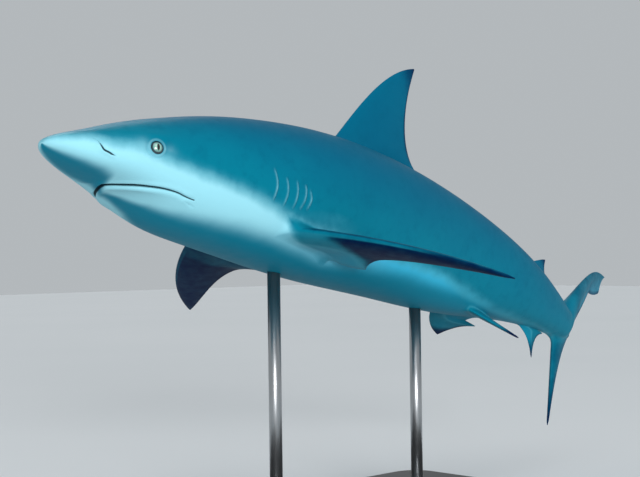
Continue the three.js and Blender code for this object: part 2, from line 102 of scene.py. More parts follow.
class Spline:
    """Natural cubic spline through a row of knots."""

    def __init__(self, knots: Array, values: Array) -> None:
        """Solves for the curvature at each knot.

        Args:
            knots: Rising positions.
            values: Value at each position.
        """
        self.knots = np.asarray(knots, float)
        self.values = np.asarray(values, float)
        step = np.diff(self.knots)
        rise = np.diff(self.values) / step
        system = np.eye(len(self.knots))
        right = np.zeros(len(self.knots))
        for i in range(1, len(self.knots) - 1):
            system[i, i - 1 : i + 2] = step[i - 1], 2 * (step[i - 1] + step[i]), step[i]
            right[i] = 6 * (rise[i] - rise[i - 1])
        self.curve = np.linalg.solve(system, right)

    def __call__(self, position: Array) -> Array:
        """Value of the spline.

        Args:
            position: Positions to read; the end spans carry on past the ends.

        Returns:
            The spline's values.
        """
        position = np.asarray(position, float)
        i = np.clip(np.searchsorted(self.knots, position) - 1, 0, len(self.knots) - 2)
        step = self.knots[i + 1] - self.knots[i]
        t = position - self.knots[i]
        first, second = self.curve[i], self.curve[i + 1]
        slope = (self.values[i + 1] - self.values[i]) / step - step * (2 * first + second) / 6
        return self.values[i] + t * (slope + t * (first / 2 + t * (second - first) / (6 * step)))


class Bezier:
    """Plane cubic curve through four control points."""

    def __init__(self, points: Plane) -> None:
        """Keeps the start, two handles and the end."""
        self.points = np.asarray(points, float)

    def __call__(self, share: Array) -> Array:
        """Points of the curve.

        Args:
            share: Shares of the curve between 0 and 1.

        Returns:
            One row of two numbers for each share.
        """
        t = np.clip(np.asarray(share, float), 0.0, 1.0)[..., None]
        a, b, c, d = self.points
        return a * (1 - t) ** 3 + 3 * b * t * (1 - t) ** 2 + 3 * c * t**2 * (1 - t) + d * t**3


# ------------------------------------------------------------------ the shark's shape


@dataclass
class Spine:
    """Bend of the swimming shark and its place over the stand."""

    length: float = 2000.0
    step: float = 5.0
    head_pitch: float = 0.146
    tail_pitch: float = -0.115
    pitch_range: tuple[float, float] = (290.0, 1610.0)
    tail_yaw: float = 0.5075
    yaw_range: tuple[float, float] = (1080.0, 1890.0)
    tip_yaw: float = 0.13
    tip_range: tuple[float, float] = (1620.0, 1980.0)
    head_roll: float = 0.093
    roll_range: tuple[float, float] = (230.0, 428.0)
    straight_point: float = 600.0
    nose_up: float = math.radians(16.7)
    position: Place = (-650.0, 0.0, 775.0)

    def __post_init__(self) -> None:
        """Walks down the spine once and keeps its points."""
        self.stations = np.arange(0.0, self.length + self.step / 2, self.step)
        strides = self.forward(self.stations[:-1] + self.step / 2) * self.step
        points = np.vstack([np.zeros(3), np.cumsum(strides, axis=0)])
        fixed = int(self.straight_point / self.step)
        self.points = points - points[fixed] + (self.straight_point, 0.0, 0.0)

    def headings(self, station: Array) -> tuple[Array, Array]:
        """Yaw and pitch of the spine.

        Args:
            station: Distances back from the nose.

        Returns:
            The two angles in radians.
        """
        yaw = self.tail_yaw * smoothstep(station, *self.yaw_range)
        yaw = yaw - self.tip_yaw * smoothstep(station, *self.tip_range)
        pitch_share = smoothstep(station, *self.pitch_range)
        return yaw, self.head_pitch + (self.tail_pitch - self.head_pitch) * pitch_share

    def forward(self, station: Array) -> Array:
        """Direction of the spine.

        Args:
            station: Distances back from the nose.

        Returns:
            One unit vector for each station.
        """
        yaw, pitch = self.headings(station)
        flat = np.cos(pitch)
        return np.stack([np.cos(yaw) * flat, np.sin(yaw) * flat, np.sin(pitch)], axis=-1)

    def place(self, points: Array) -> Array:
        """Moves points of the straight frame to the scene.

        Args:
            points: Rows of x, y and z in millimetres.

        Returns:
            Rows of x, y and z in metres.
        """
        station = points[:, 0]
        reach = np.clip(station, 0.0, self.length - self.step)
        origin = np.stack([np.interp(reach, self.stations, axis) for axis in self.points.T], axis=-1)
        yaw, _ = self.headings(station)
        along = self.forward(station)
        right = np.stack([-np.sin(yaw), np.cos(yaw), np.zeros_like(yaw)], axis=-1)
        up = np.cross(along, right)
        roll = self.head_roll * (1 - smoothstep(station, *self.roll_range))
        across = points[:, 1] * np.cos(roll) + points[:, 2] * np.sin(roll)
        height = points[:, 2] * np.cos(roll) - points[:, 1] * np.sin(roll)
        bent = origin + along * np.minimum(station, 0.0)[:, None]
        bent = bent + right * across[:, None] + up * height[:, None]
        cos, sin = math.cos(self.nose_up), math.sin(self.nose_up)
        x, y, z = bent.T
        tipped = np.stack([x * cos + z * sin, y, z * cos - x * sin], axis=-1)
        return (tipped + self.position) * MM


@dataclass
class Body:
    """Girth of the body and outline of the tail fin's upper lobe, which carries it on."""

    # station, half width, height of the back, depth of the belly, height of the widest line
    girth: tuple[tuple[float, ...], ...] = (
        (0, 0, 0, 0, 0),
        (24, 39, 19.5, 17.3, 0),
        (70, 64.5, 36.7, 32.2, -3.4),
        (140, 95.7, 62.7, 54, -4.3),
        (220, 115.1, 85.5, 94.8, -3.6),
        (320, 134, 108.9, 116.2, 0),
        (440, 146, 127, 131.5, 0),
        (600, 144.5, 136, 144.5, 0),
        (800, 123, 129, 142, 0),
        (1000, 95.5, 110.5, 128, 0),
        (1200, 71.5, 84.5, 88.5, 0),
        (1380, 45.5, 57.5, 53, 0),
        (1500, 33, 44, 35, 0),
    )
    squareness: float = 0.03
    square_fade: float = 200.0
    end: float = 1500.0
    lobe_stations: float = 500.0
    dorsal_margin: Plane = ((1500, 44), (1566, 122), (1682, 238), (1885, 267))
    lower_edges: tuple[tuple[float, Plane], ...] = (
        (0.28, ((1500, -35), (1525, -30), (1556, -14), (1576, 5))),
        (0.66, ((1576, 5), (1600, 50), (1655, 95), (1703, 157))),
        (0.9, ((1703, 157), (1748, 166), (1800, 184), (1842, 206))),
        (1.0, ((1842, 206), (1839, 226), (1850, 250), (1885, 267))),
    )
    lobe_half: tuple[float, ...] = (33, 19, 10, 5, 2.2)
    web_thinning: float = 0.72
    thinnest_half: float = 1.0
    tip_closing: float = 0.02
    probe: float = 0.01

    def __post_init__(self) -> None:
        """Draws the splines through the tables."""
        table = np.array(self.girth, float)
        roots = np.sqrt(table[:, 0])
        self.side, self.back, self.belly, self.widest = (Spline(roots, row) for row in table.T[1:])
        self.top_edge = Bezier(self.dorsal_margin)
        self.half_spline = Spline(np.linspace(0, 1, len(self.lobe_half)), np.array(self.lobe_half))

    def section(self, station: Array, turn: Array) -> Array:
        """Surface of the body ahead of the tail fin.

        Args:
            station: Distances back from the nose.
            turn: Angles round the body.

        Returns:
            Points of the straight frame.
        """
        root = np.sqrt(np.maximum(station, 0.0))
        back, belly = self.back(root), self.belly(root)
        square = self.squareness * (1 - smoothstep(station, self.end - self.square_fade, self.end))
        y = -self.side(root) * (np.sin(turn) + square * np.sin(3 * turn)) / (1 - square)
        z = (back + belly) / 2 * (np.cos(turn) - square * np.cos(3 * turn)) / (1 - square)
        z = z + (back - belly) / 2 * np.cos(turn) ** 2 + self.widest(root) * np.sin(turn) ** 2
        return np.stack([station + 0 * turn, y, z], axis=-1)

    def lower_edge(self, share: Array) -> Array:
        """Lower edge of the upper lobe.

        Args:
            share: Shares of the lobe's length.

        Returns:
            Rows of x and z.
        """
        found = np.zeros(np.shape(share) + (2,))
        start = 0.0
        for end, points in self.lower_edges:
            inside = (share >= start) & (share <= end)
            found[inside] = Bezier(points)((share[inside] - start) / (end - start))
            start = end
        return found

    def lobe(self, share: Array, turn: Array) -> Array:
        """Surface of the tail fin's upper lobe.

        Args:
            share: Shares of the lobe's length.
            turn: Angles round it.

        Returns:
            Points of the straight frame.
        """
        top, bottom = self.top_edge(share), self.lower_edge(share)
        down = (1 - np.cos(turn)) / 2
        spread = smoothstep(share, 0.0, 0.45)
        web = 1 - self.web_thinning * spread * smoothstep(down, 0.2, 0.75)
        half = np.maximum(self.half_spline(share) * web, self.thinnest_half)
        half = half * np.sqrt(np.clip((1 - share) / self.tip_closing, 0, 1))
        edge = top + (bottom - top) * down[..., None]
        return np.stack([edge[..., 0], -half * np.sin(turn), edge[..., 1]], axis=-1)

    def surface(self, station: Array, turn: Array) -> Array:
        """Surface of the whole body, from the nose to the tip of the upper lobe.

        Args:
            station: Distances back from the nose, carried on evenly along the lobe.
            turn: Angles round the body.

        Returns:
            Points of the straight frame.
        """
        station, turn = np.broadcast_arrays(np.asarray(station, float), np.asarray(turn, float))
        share = np.clip((station - self.end) / self.lobe_stations, 0.0, 1.0)
        ahead = self.section(np.minimum(station, self.end), turn)
        return np.where((station > self.end)[..., None], self.lobe(share, turn), ahead)

    def normal(self, station: Array, turn: Array) -> Array:
        """Outward direction of the surface.

        Args:
            station: Distances back from the nose.
            turn: Angles round the body.

        Returns:
            Unit vectors of the straight frame.
        """
        reach = np.minimum(0.4, 0.2 * np.asarray(station, float) + 1e-3)
        rearward = self.surface(station + reach, turn) - self.surface(np.maximum(station - reach, 0), turn)
        round_body = self.surface(station, turn + self.probe) - self.surface(station, turn - self.probe)
        outward = np.cross(round_body, rearward)
        size = np.linalg.norm(outward, axis=-1, keepdims=True)
        return np.where(size > 1e-9, outward / np.maximum(size, 1e-9), (-1.0, 0.0, 0.0))

    def radius(self, station: Array, turn: Array) -> Array:
        """Millimetres travelled on the surface for one radian of turn."""
        step = self.surface(station, turn + self.probe) - self.surface(station, turn - self.probe)
        return np.linalg.norm(step, axis=-1) / (2 * self.probe)

    def clearance(self, points: Array) -> Array:
        """Distance of points outside the body ahead of the tail fin, by way of the axis.

        Args:
            points: Points of the straight frame.

        Returns:
            Millimetres, negative inside.
        """
        root = np.sqrt(np.clip(points[:, 0], 1.0, self.end))
        mean = (self.back(root) + self.belly(root)) / 2
        lift = (self.back(root) - self.belly(root)) / 2
        turn = np.arctan2(-points[:, 1] / self.side(root), points[:, 2] / mean)
        for _ in range(4):
            level = points[:, 2] - lift * np.cos(turn) ** 2 - self.widest(root) * np.sin(turn) ** 2
            turn = np.arctan2(-points[:, 1] / self.side(root), level / mean)
        skin = self.section(points[:, 0], turn)
        return np.hypot(points[:, 1], points[:, 2]) - np.hypot(skin[:, 1], skin[:, 2])


class SkinLine:
    """Line drawn on the left half of the skin, which the right half mirrors."""

    batch: int = 4000

    def __init__(self, body: Body, knots: Plane, samples: int = 60) -> None:
        """Lays the line on the skin.

        Args:
            body: Body that carries the line.
            knots: Station and turn of the points that it passes through.
            samples: Number of straight pieces that stand for it.
        """
        table = np.array(knots, float)
        along = np.concatenate([[0.0], np.cumsum(self._strides(body, table))])
        at = np.linspace(0, along[-1], samples + 1)
        station, turn = Spline(along, table[:, 0])(at), Spline(along, table[:, 1])(at)
        self.points = body.surface(station, turn)
        self.normals = body.normal(station, turn)

    @staticmethod
    def _strides(body: Body, table: Array) -> Array:
        """Distances between neighbouring knots on the skin."""
        return np.linalg.norm(np.diff(body.surface(table[:, 0], table[:, 1]), axis=0), axis=1)

    def nearest(self, points: Array, reach: float) -> tuple[Array, Array]:
        """Distance of points from the line.

        Args:
            points: Points of the straight frame; those on the right are mirrored first.
            reach: Distance past which a point isn't looked at.

        Returns:
            Signed distance, positive on the side that lies below or behind, and the share
            of the line's length at the nearest place.
        """
        points = to_left(points)
        distance = np.full(len(points), reach)
        share = np.zeros(len(points))
        low, high = self.points.min(axis=0) - reach, self.points.max(axis=0) + reach
        near = np.flatnonzero(((points > low) & (points < high)).all(axis=1))
        starts, steps = self.points[:-1], np.diff(self.points, axis=0)
        for part in np.array_split(near, len(near) // self.batch + 1):
            gap = points[part, None] - starts
            t = np.clip((gap * steps).sum(-1) / (steps**2).sum(-1), 0.0, 1.0)
            off = gap - t[..., None] * steps
            best = (off**2).sum(-1).argmin(axis=1)
            row = np.arange(len(part))
            side = np.cross(self.normals[best], steps[best])
            sign = np.where((off[row, best] * side).sum(-1) < 0, -1.0, 1.0)
            distance[part] = sign * np.minimum(np.linalg.norm(off[row, best], axis=1), reach)
            share[part] = (best + t[row, best]) / len(steps)
        return distance, share


@dataclass
class Fin:
    """Outline and thickness of a fin, and the patch of skin that it grows from."""

    name: str
    front: Plane
    inner: Plane
    rear: Plane
    half_thickness: float
    stations: tuple[float, float]
    turn: float
    turn_half: float
    body: Body
    levels: int = 18
    fillet: float = 0.07
    split: float = 0.22
    edge: float = 0.8
    handed: float = 1.0
    inward: float = -1.0
    inward_reach: float = 300.0
    tip: float = 0.992
    nose_share: float = 0.02
    crowding: float = 1.25
    fullness: float = 2.6
    thinning: float = 0.85
    tip_edge: float = 0.35
    tip_closing: float = 0.06
    root_range: tuple[float, float] = (-0.35, 0.45)
    halvings: int = 22

    def plan(self, chord: Array, span: Array) -> Array:
        """Point of the fin's own plane.

        Args:
            chord: Share of the way from the front edge to the rear edge.
            span: Share of the way from the root to the tip, negative inside the body.

        Returns:
            Rows of the distances along the body and out from it.
        """
        start, end = np.array(self.inner, float)
        inner = start + (end - start) * np.clip(span / self.split, 0, 1)[:, None]
        rear = Bezier(self.rear)((span - self.split) / (1 - self.split))
        back = np.where((span < self.split)[:, None], inner, rear)
        front = Bezier(self.front)(span)
        found = front + (back - front) * chord[:, None]
        found[:, 1] += self.inward * self.inward_reach * np.maximum(-span, 0)
        return found

    def half(self, chord: Array, span: Array) -> Array:
        """Half of the fin's thickness.

        Args:
            chord: Share of the way from the front edge to the rear edge.
            span: Share of the way from the root to the tip.

        Returns:
            Millimetres.
        """
        foil = self.fullness * np.sqrt(chord) * (1 - chord)
        taper = 1 - self.thinning * np.clip(span, 0, 1)
        closing = self.tip_edge + (1 - self.tip_edge) * smoothstep(1 - span, 0.0, self.tip_closing)
        return closing * (self.half_thickness * taper * foil + self.edge * np.minimum(1, chord * 12))

    def place(self, plan: Array, off: Array) -> Array:
        """Point of the straight frame, from distances along the body, out from it and off the fin's plane."""
        raise NotImplementedError

    def clearance(self, points: Array) -> Array:
        """Distance of points outside the body, negative inside."""
        return self.body.clearance(points)

    def surface(self, fore: Array, across: Array, span: Array) -> Array:
        """Point of the fin's surface.

        Args:
            fore: 0 at the front edge to 1 at the rear edge.
            across: -1 on one face to 1 on the other.
            span: Share of the way from the root to the tip.

        Returns:
            Rows of x, y and z.
        """
        spacing = fore**self.crowding
        full = spacing + self.nose_share * (1 - fore)
        chord = spacing + self.nose_share * (1 - fore) * across**2
        return self.place(self.plan(chord, span), self.handed * across * self.half(full, span))

    def root_span(self, fore: Array, across: Array) -> Array:
        """Span at which the fin's surface comes out of the body.

        Args:
            fore: 0 at the front edge to 1 at the rear edge.
            across: -1 on one face to 1 on the other.

        Returns:
            Shares of the span.
        """
        low, high = (np.full(len(fore), end) for end in self.root_range)
        for _ in range(self.halvings):
            middle = (low + high) / 2
            inside = self.clearance(self.surface(fore, across, middle)) < 0
            low, high = np.where(inside, middle, low), np.where(inside, high, middle)
        return high

    def root_line(self) -> tuple[Array, Array]:
        """Line of the fin's root on the skin, from its front to its rear.

        Returns:
            Its stations and its turns.
        """
        fore = np.linspace(0, 1, 9)
        across = np.zeros(9)
        root = self.surface(fore, across, self.root_span(fore, across))
        turns = np.linspace(0, FULL_TURN, 721)
        ring = self.body.surface(root[:, :1], turns[None])
        best = ((ring - root[:, None]) ** 2).sum(-1).argmin(axis=1)
        return root[:, 0], turns[best]


@dataclass
class MiddleFin(Fin):
    """Fin that stands on the middle line of the back or of the belly."""

    origin: float = 0.0
    side: float = 1.0

    def place(self, plan: Array, off: Array) -> Array:
        """Point of the straight frame.

        Args:
            plan: Distances back from the front of the root and out from the body.
            off: Distance out of the fin's own plane.

        Returns:
            Rows of x, y and z.
        """
        station = self.origin + plan[:, 0]
        height = self._edge(station) + plan[:, 1]
        return np.stack([station, off, self.side * height], axis=-1)

    def clearance(self, points: Array) -> Array:
        """Distance of points above the back or below the belly, negative inside."""
        return self.side * points[:, 2] - self._edge(points[:, 0])

    def _edge(self, station: Array) -> Array:
        """Height of the back or depth of the belly."""
        line = self.body.back if self.side > 0 else self.body.belly
        return line(np.sqrt(np.clip(station, 1.0, self.body.end)))


@dataclass
class LowerLobe(Fin):
    """Lower lobe of the tail fin, whose outline is given by x and z."""

    def place(self, plan: Array, off: Array) -> Array:
        """Point of the straight frame, from the base method's distances."""
        return np.stack([plan[:, 0], off, plan[:, 1]], axis=-1)

    def clearance(self, points: Array) -> Array:
        """Distance of points below the tail stock and the upper lobe.

        Args:
            points: Points of the straight frame.

        Returns:
            Millimetres, negative inside.
        """
        edge = self.body.lower_edge(np.linspace(0, 0.6, 241))
        station = np.linspace(self.body.end - 200, self.body.end - 1, 200)
        x = np.concatenate([station, edge[:, 0]])
        z = np.concatenate([-self.body.belly(np.sqrt(station)), edge[:, 1]])
        return np.interp(points[:, 0], x, z) - points[:, 2]


@dataclass
class FlankFin(Fin):
    """Paired fin in a plane of its own."""

    origin: float = 0.0
    side: float = LEFT
    round_body: float = 2.14
    droop: float = 0.0
    lift: float = 0.0
    sweep: float = 0.0
    bend: float = 0.0
    bend_scale: tuple[float, float] = (200.0, 320.0)
    curl: float = 0.0
    curl_from: tuple[float, float] = (90.0, 160.0)
    curl_fade: float = 95.0

    def __post_init__(self) -> None:
        """Works out the plane's directions from the fin's attitude."""
        root = self.body.section(np.array(self.origin), np.array(self.round_body))
        self.root = root * (1.0, -self.side, 1.0)
        out = np.array([0.0, self.side * math.cos(self.droop), -math.sin(self.droop)])
        along = np.array([1.0, 0.0, 0.0])
        off = np.cross(along, out)
        off = off if off[2] > 0 else -off
        chord = along * math.cos(self.lift) - off * math.sin(self.lift)
        self.face = off * math.cos(self.lift) + along * math.sin(self.lift)
        self.chord = chord * math.cos(self.sweep) - out * math.sin(self.sweep)
        self.out = out * math.cos(self.sweep) + chord * math.sin(self.sweep)

    def place(self, plan: Array, off: Array) -> Array:
        """Point of the straight frame, with the fin's bend and the curl of its free rear tip.

        Args:
            plan: Distances along the fin's root and out along the fin.
            off: Distance out of the fin's own plane.

        Returns:
            Rows of x, y and z.
        """
        depth, reach = self.bend_scale
        bow = -self.bend * depth * (plan[:, 1] / reach) ** 2
        near_root = 1 - smoothstep(plan[:, 1], 0.0, self.curl_fade)
        bow = bow - self.curl * smoothstep(plan[:, 0], *self.curl_from) * near_root
        flat = self.root + plan[:, :1] * self.chord + plan[:, 1:] * self.out
        return flat + (off + bow)[:, None] * self.face


def shark_fins(body: Body) -> list[Fin]:
    """All fins but the tail fin's upper lobe.

    Args:
        body: Body that the fins stand on.

    Returns:
        The fins, each with its own shape and place.
    """
    pectoral = {
        "front": ((0, 0), (29, 124), (124, 268), (231, 334)),
        "inner": ((115, 0), (194, 44)),
        "rear": ((194, 44), (120, 95), (190, 215), (231, 334)),
        "curl": 17, "half_thickness": 13, "stations": (412, 560), "turn_half": 0.2,
        "origin": 428.5, "levels": 24, "body": body,
    }
    pelvic = {
        "front": ((0, 0), (22, 36), (60, 70), (102, 82)),
        "inner": ((104, 0), (146, 5)),
        "rear": ((146, 5), (112, 16), (104, 46), (102, 82)),
        "half_thickness": 6, "stations": (1034, 1162), "turn_half": 0.17, "origin": 1045,
        "round_body": 2.62, "droop": 0.4, "lift": 0.05, "sweep": 0.12, "levels": 12, "body": body,
    }
    return [
        MiddleFin(
            name="first_dorsal_fin",
            front=((0, 0), (50, 70), (112, 184), (192, 217)),
            inner=((170, 0), (250, 10)),
            rear=((250, 10), (192, 24), (170, 112), (192, 217)),
            half_thickness=9, stations=(616, 818), turn=0.0, turn_half=0.16,
            handed=-1.0, origin=632, levels=24, body=body,
        ),
        MiddleFin(
            name="second_dorsal_fin",
            front=((0, 0), (32, 12), (60, 39), (83, 47)),
            inner=((76, 0), (122, 5)),
            rear=((122, 5), (92, 9), (80, 25), (83, 47)),
            half_thickness=4, stations=(1262, 1360), turn=0.0, turn_half=0.16,
            handed=-1.0, origin=1272, levels=10, body=body,
        ),
        MiddleFin(
            name="anal_fin",
            front=((0, 0), (34, 12), (62, 28), (89, 68)),
            inner=((80, 0), (124, 4)),
            rear=((124, 4), (84, 8), (78, 30), (89, 68)),
            half_thickness=4, stations=(1286, 1388), turn=math.pi, turn_half=0.2,
            origin=1296, side=-1.0, levels=10, body=body,
        ),
        FlankFin(
            name="pectoral_fin_left", turn=2.14, side=LEFT, handed=-1.0,
            droop=-0.05, lift=0.174, sweep=0.178, bend=0.042, **pectoral,
        ),
        FlankFin(
            name="pectoral_fin_right", turn=FULL_TURN - 2.14, side=RIGHT,
            droop=0.348, lift=0.134, sweep=0.068, bend=-0.103, **pectoral,
        ),
        FlankFin(name="pelvic_fin_left", turn=2.62, side=LEFT, handed=-1.0, **pelvic),
        FlankFin(name="pelvic_fin_right", turn=FULL_TURN - 2.62, side=RIGHT, **pelvic),
        LowerLobe(
            name="caudal_lower_lobe",
            front=((1466, -26), (1500, -110), (1532, -186), (1550, -234)),
            inner=((1584, 2), (1572, -8)),
            rear=((1572, -8), (1535, -60), (1534, -140), (1550, -234)),
            half_thickness=9, split=0.06, stations=(1452, 1634), turn=math.pi, turn_half=0.5,
            inward=1.0, levels=20, body=body,
        ),
    ]


# ------------------------------------------------------------------ relief of the skin


@dataclass
class EyeSite:
    """Place and size of the eye opening and of the eyeball under it."""

    station: float = 152.8
    turn: float = 1.421
    half_length: float = 11.5
    half_height: float = 11.8
    ball_radius: float = 16.0
    ball_depth: float = 12.5
    probe: float = 4.0

    def frame_on(self, body: Body, side: float) -> tuple[Array, Array, Array, Array]:
        """Middle of the opening and its rearward, upward and outward directions.

        Args:
            body: Body that carries the eye.
            side: LEFT or RIGHT.

        Returns:
            Four rows of the straight frame.
        """
        at, turn = np.array(self.station), np.array(self.turn)
        outward = body.normal(at, turn)
        rearward = body.surface(at + self.probe, turn) - body.surface(at - self.probe, turn)
        rearward = rearward - outward * (rearward @ outward)
        rearward = rearward / np.linalg.norm(rearward)
        upward = np.cross(outward, rearward)
        mirror = np.array([1.0, -side, 1.0])
        return body.surface(at, turn) * mirror, rearward * mirror, upward * mirror, outward * mirror


@dataclass
class Relief:
    """Low relief over the girth: lips, nostrils, gill slits, lids, ridges and pits."""

    body: Body
    eye: EyeSite
    # station and turn of the lines of the head
    mouth_knots: Plane = (
        (122.5, math.pi), (124.8, 3.02), (131.0, 2.845), (138.0, 2.693), (146.4, 2.559), (160.2, 2.414),
        (176.4, 2.302), (195.5, 2.238), (206.0, 2.227), (217.7, 2.237), (225.6, 2.239), (234.6, 2.237),
    )
    nostril_knots: Plane = (
        (57.5, 1.2), (63.5, 1.27), (67.2, 1.42), (69.6, 1.53), (73, 1.66), (79, 1.725), (85, 1.788),
        (91.9, 1.836),
    )
    furrow_knots: Plane = ((223, 2.321), (233, 2.345), (240, 2.357))
    # top, middle and bottom of each gill slit
    gills: tuple[Plane, ...] = (
        ((373, 1.444), (382, 1.641), (378, 1.858)),
        ((400, 1.508), (406.5, 1.69), (401.5, 1.885)),
        ((424, 1.524), (428, 1.705), (423, 1.876)),
        ((444, 1.545), (447, 1.698), (439, 1.86)),
        ((454.5, 1.592), (461, 1.705), (454.5, 1.838)),
    )
    # distances from the lines past which their relief is left out
    mouth_reach: float = 30.0
    furrow_reach: float = 9.0
    nostril_reach: float = 14.0
    lid_reach: float = 40.0
    brow_reach: float = 70.0
    gill_reach: float = 22.0
    lower_lip: tuple[Hill, Hill] = (Hill(-7, 6), Hill(-15, 9, 0.4))
    upper_lip: Hill = Hill(6, 4)
    furrow_dip: Hill = Hill(0, 1.5, -0.8)
    nostril_fold: tuple[Hill, ...] = (Hill(-3.4, 2.4, 1.5), Hill(0, 1.1, -2.6), Hill(3.0, 2.2, 0.9))
    lid: Hill = Hill(13.8, 1.7, 0.6)
    lid_fold: Hill = Hill(17.6, 1.5)
    under_lid: Hill = Hill(20.8, 2.4, 1.1)
    brow: tuple[Hill, Hill] = (Hill(21, 9, 2.2), Hill(2, 26))
    flap_height: float = 2.4
    slit_depth: float = 1.7
    slit_slope: float = 5.0
    ridge_height: float = 2.0
    ridge_half_turn: float = 0.045
    upper_pit: tuple[Hill, Hill] = (Hill(1488, 8, 5.5), Hill(0, 0.5))
    lower_pit: tuple[Hill, Hill] = (Hill(1447, 7, 3.0), Hill(0, 0.5))

    def __post_init__(self) -> None:
        """Lays the lines on the skin."""
        self.mouth = SkinLine(self.body, self.mouth_knots, 100)
        self.nostril = SkinLine(self.body, self.nostril_knots, 40)
        self.furrow = SkinLine(self.body, self.furrow_knots, 12)
        self.slits = [SkinLine(self.body, gill, 24) for gill in self.gills]

    def eye_offsets(self, points: Array) -> tuple[Array, Array]:
        """Place of points about the eye, with the right side mirrored on to the left.

        Args:
            points: Points of the straight frame.

        Returns:
            Millimetres behind and above the middle of the opening.
        """
        centre, rearward, upward, _ = self.eye.frame_on(self.body, LEFT)
        folded = to_left(points) - centre
        return folded @ rearward, folded @ upward

    def mouth_height(self, points: Array) -> Array:
        """Height of the lips and of the furrow behind the corner of the mouth.

        Args:
            points: Points of the plain surface.

        Returns:
            Millimetres outwards.
        """
        ahead, share = self.mouth.nearest(points, self.mouth_reach)
        open_end = 1 - smoothstep(share, 0.9, 1.0)
        front = 1 - smoothstep(share, 0.3, 0.85)
        lips = (1.3 + 2.6 * front) * sum(hill.at(ahead) for hill in self.lower_lip)
        lips = lips + (0.8 + 0.5 * front) * self.upper_lip.at(ahead)
        groove = (2.4 + 3.2 * front) * bump(ahead, 0.3, 1.8 + 0.5 * front)
        height = (lips * open_end - groove * (0.3 + 0.7 * open_end)) * (np.abs(ahead) < self.mouth_reach)
        return height + self.furrow_dip.at(self.furrow.nearest(points, self.furrow_reach)[0])

    def nostril_height(self, points: Array) -> Array:
        """Height of the slit of the nostril and of the flaps on both sides of it.

        Args:
            points: Points of the plain surface.

        Returns:
            Millimetres outwards.
        """
        slit, share = self.nostril.nearest(points, self.nostril_reach)
        ends = np.sin(math.pi * share) ** 0.7 * (np.abs(slit) < self.nostril_reach)
        return sum(hill.at(slit) for hill in self.nostril_fold) * ends

    def eye_height(self, points: Array) -> Array:
        """Height of the lids, the folds under them and the brow.

        Args:
            points: Points of the plain surface.

        Returns:
            Millimetres outwards.
        """
        behind, above = self.eye_offsets(points)
        reach = np.hypot(behind, above)
        below = (0.5 - 0.5 * np.cos(np.arctan2(above, behind) - 0.9)) ** 2
        lid = self.lid.at(reach) - (0.1 + 1.5 * below) * self.lid_fold.at(reach)
        across, along = self.brow
        brow = across.at(above) * along.at(behind) * (reach < self.brow_reach)
        return lid * (reach < self.lid_reach) + below * self.under_lid.at(reach) + brow

    def gill_height(self, points: Array) -> Array:
        """Height of the gill flaps and slits above the plain body.

        Args:
            points: Points of the plain surface.

        Returns:
            Millimetres outwards.
        """
        height = np.zeros(len(points))
        for line in self.slits:
            behind, share = line.nearest(points, self.gill_reach)
            ends = smoothstep(share, 0.0, 0.16) * (1 - smoothstep(share, 0.84, 1.0))
            rise = self.flap_height * np.exp(np.minimum(behind, 0) / self.slit_slope)
            fall = self.slit_depth * np.exp(-np.maximum(behind, 0) / self.slit_slope)
            step = rise * (1 - smoothstep(behind, -0.8, 1.2)) - fall * smoothstep(behind, -1.0, 1.0)
            height += step * ends * (np.abs(behind) < self.gill_reach)
        return height

    def body_height(self, station: Array, turn: Array) -> Array:
        """Height of the ridge between the back fins and of the pits before the tail.

        Args:
            station: Distances back from the nose.
            turn: Angles round the body.

        Returns:
            Millimetres outwards.
        """
        level = np.arctan2(np.sin(turn), np.cos(turn))
        under = np.arctan2(np.sin(turn - math.pi), np.cos(turn - math.pi))
        along = smoothstep(station, 822, 862) * (1 - smoothstep(station, 1236, 1262))
        height = self.ridge_height * bump(level, 0, self.ridge_half_turn) * along
        for (lengthways, crossways), angle in ((self.upper_pit, level), (self.lower_pit, under)):
            height -= lengthways.at(station) * crossways.at(angle)
        return height

    def apply(self, station: Array, turn: Array) -> Array:
        """Skin with all its relief.

        Args:
            station: Distances back from the nose.
            turn: Angles round the body.

        Returns:
            Points of the straight frame.
        """
        plain = self.body.surface(station, turn)
        height = self.body_height(station, turn)
        for part in (self.mouth_height, self.nostril_height, self.eye_height, self.gill_height):
            height = height + part(plain)
        return plain + self.body.normal(station, turn) * height[:, None]


# ------------------------------------------------------------------ markings of the skin


@dataclass(frozen=True)
class Sites:
    """Where vertices of the skin lie: on the body by station and turn, on a fin by the rest."""

    station: Array
    turn: Array
    fore: Array
    across: Array
    span: Array
    fin: Array

    def of_fins(self, fins: list[Fin]) -> list[tuple[Fin, "Sites", Array]]:
        """Fins with the sites on each of them.

        Args:
            fins: Fins in the order of their numbers, which start at 1.

        Returns:
            Each fin, its own sites and the mask that picks them.
        """
        found = []
        for number, fin in enumerate(fins, start=1):
            own = np.abs(self.fin - number) < 0.5
            picked = {name: getattr(self, name)[own] for name in Sites.__annotations__}
            found.append((fin, Sites(**picked), own))
        return found


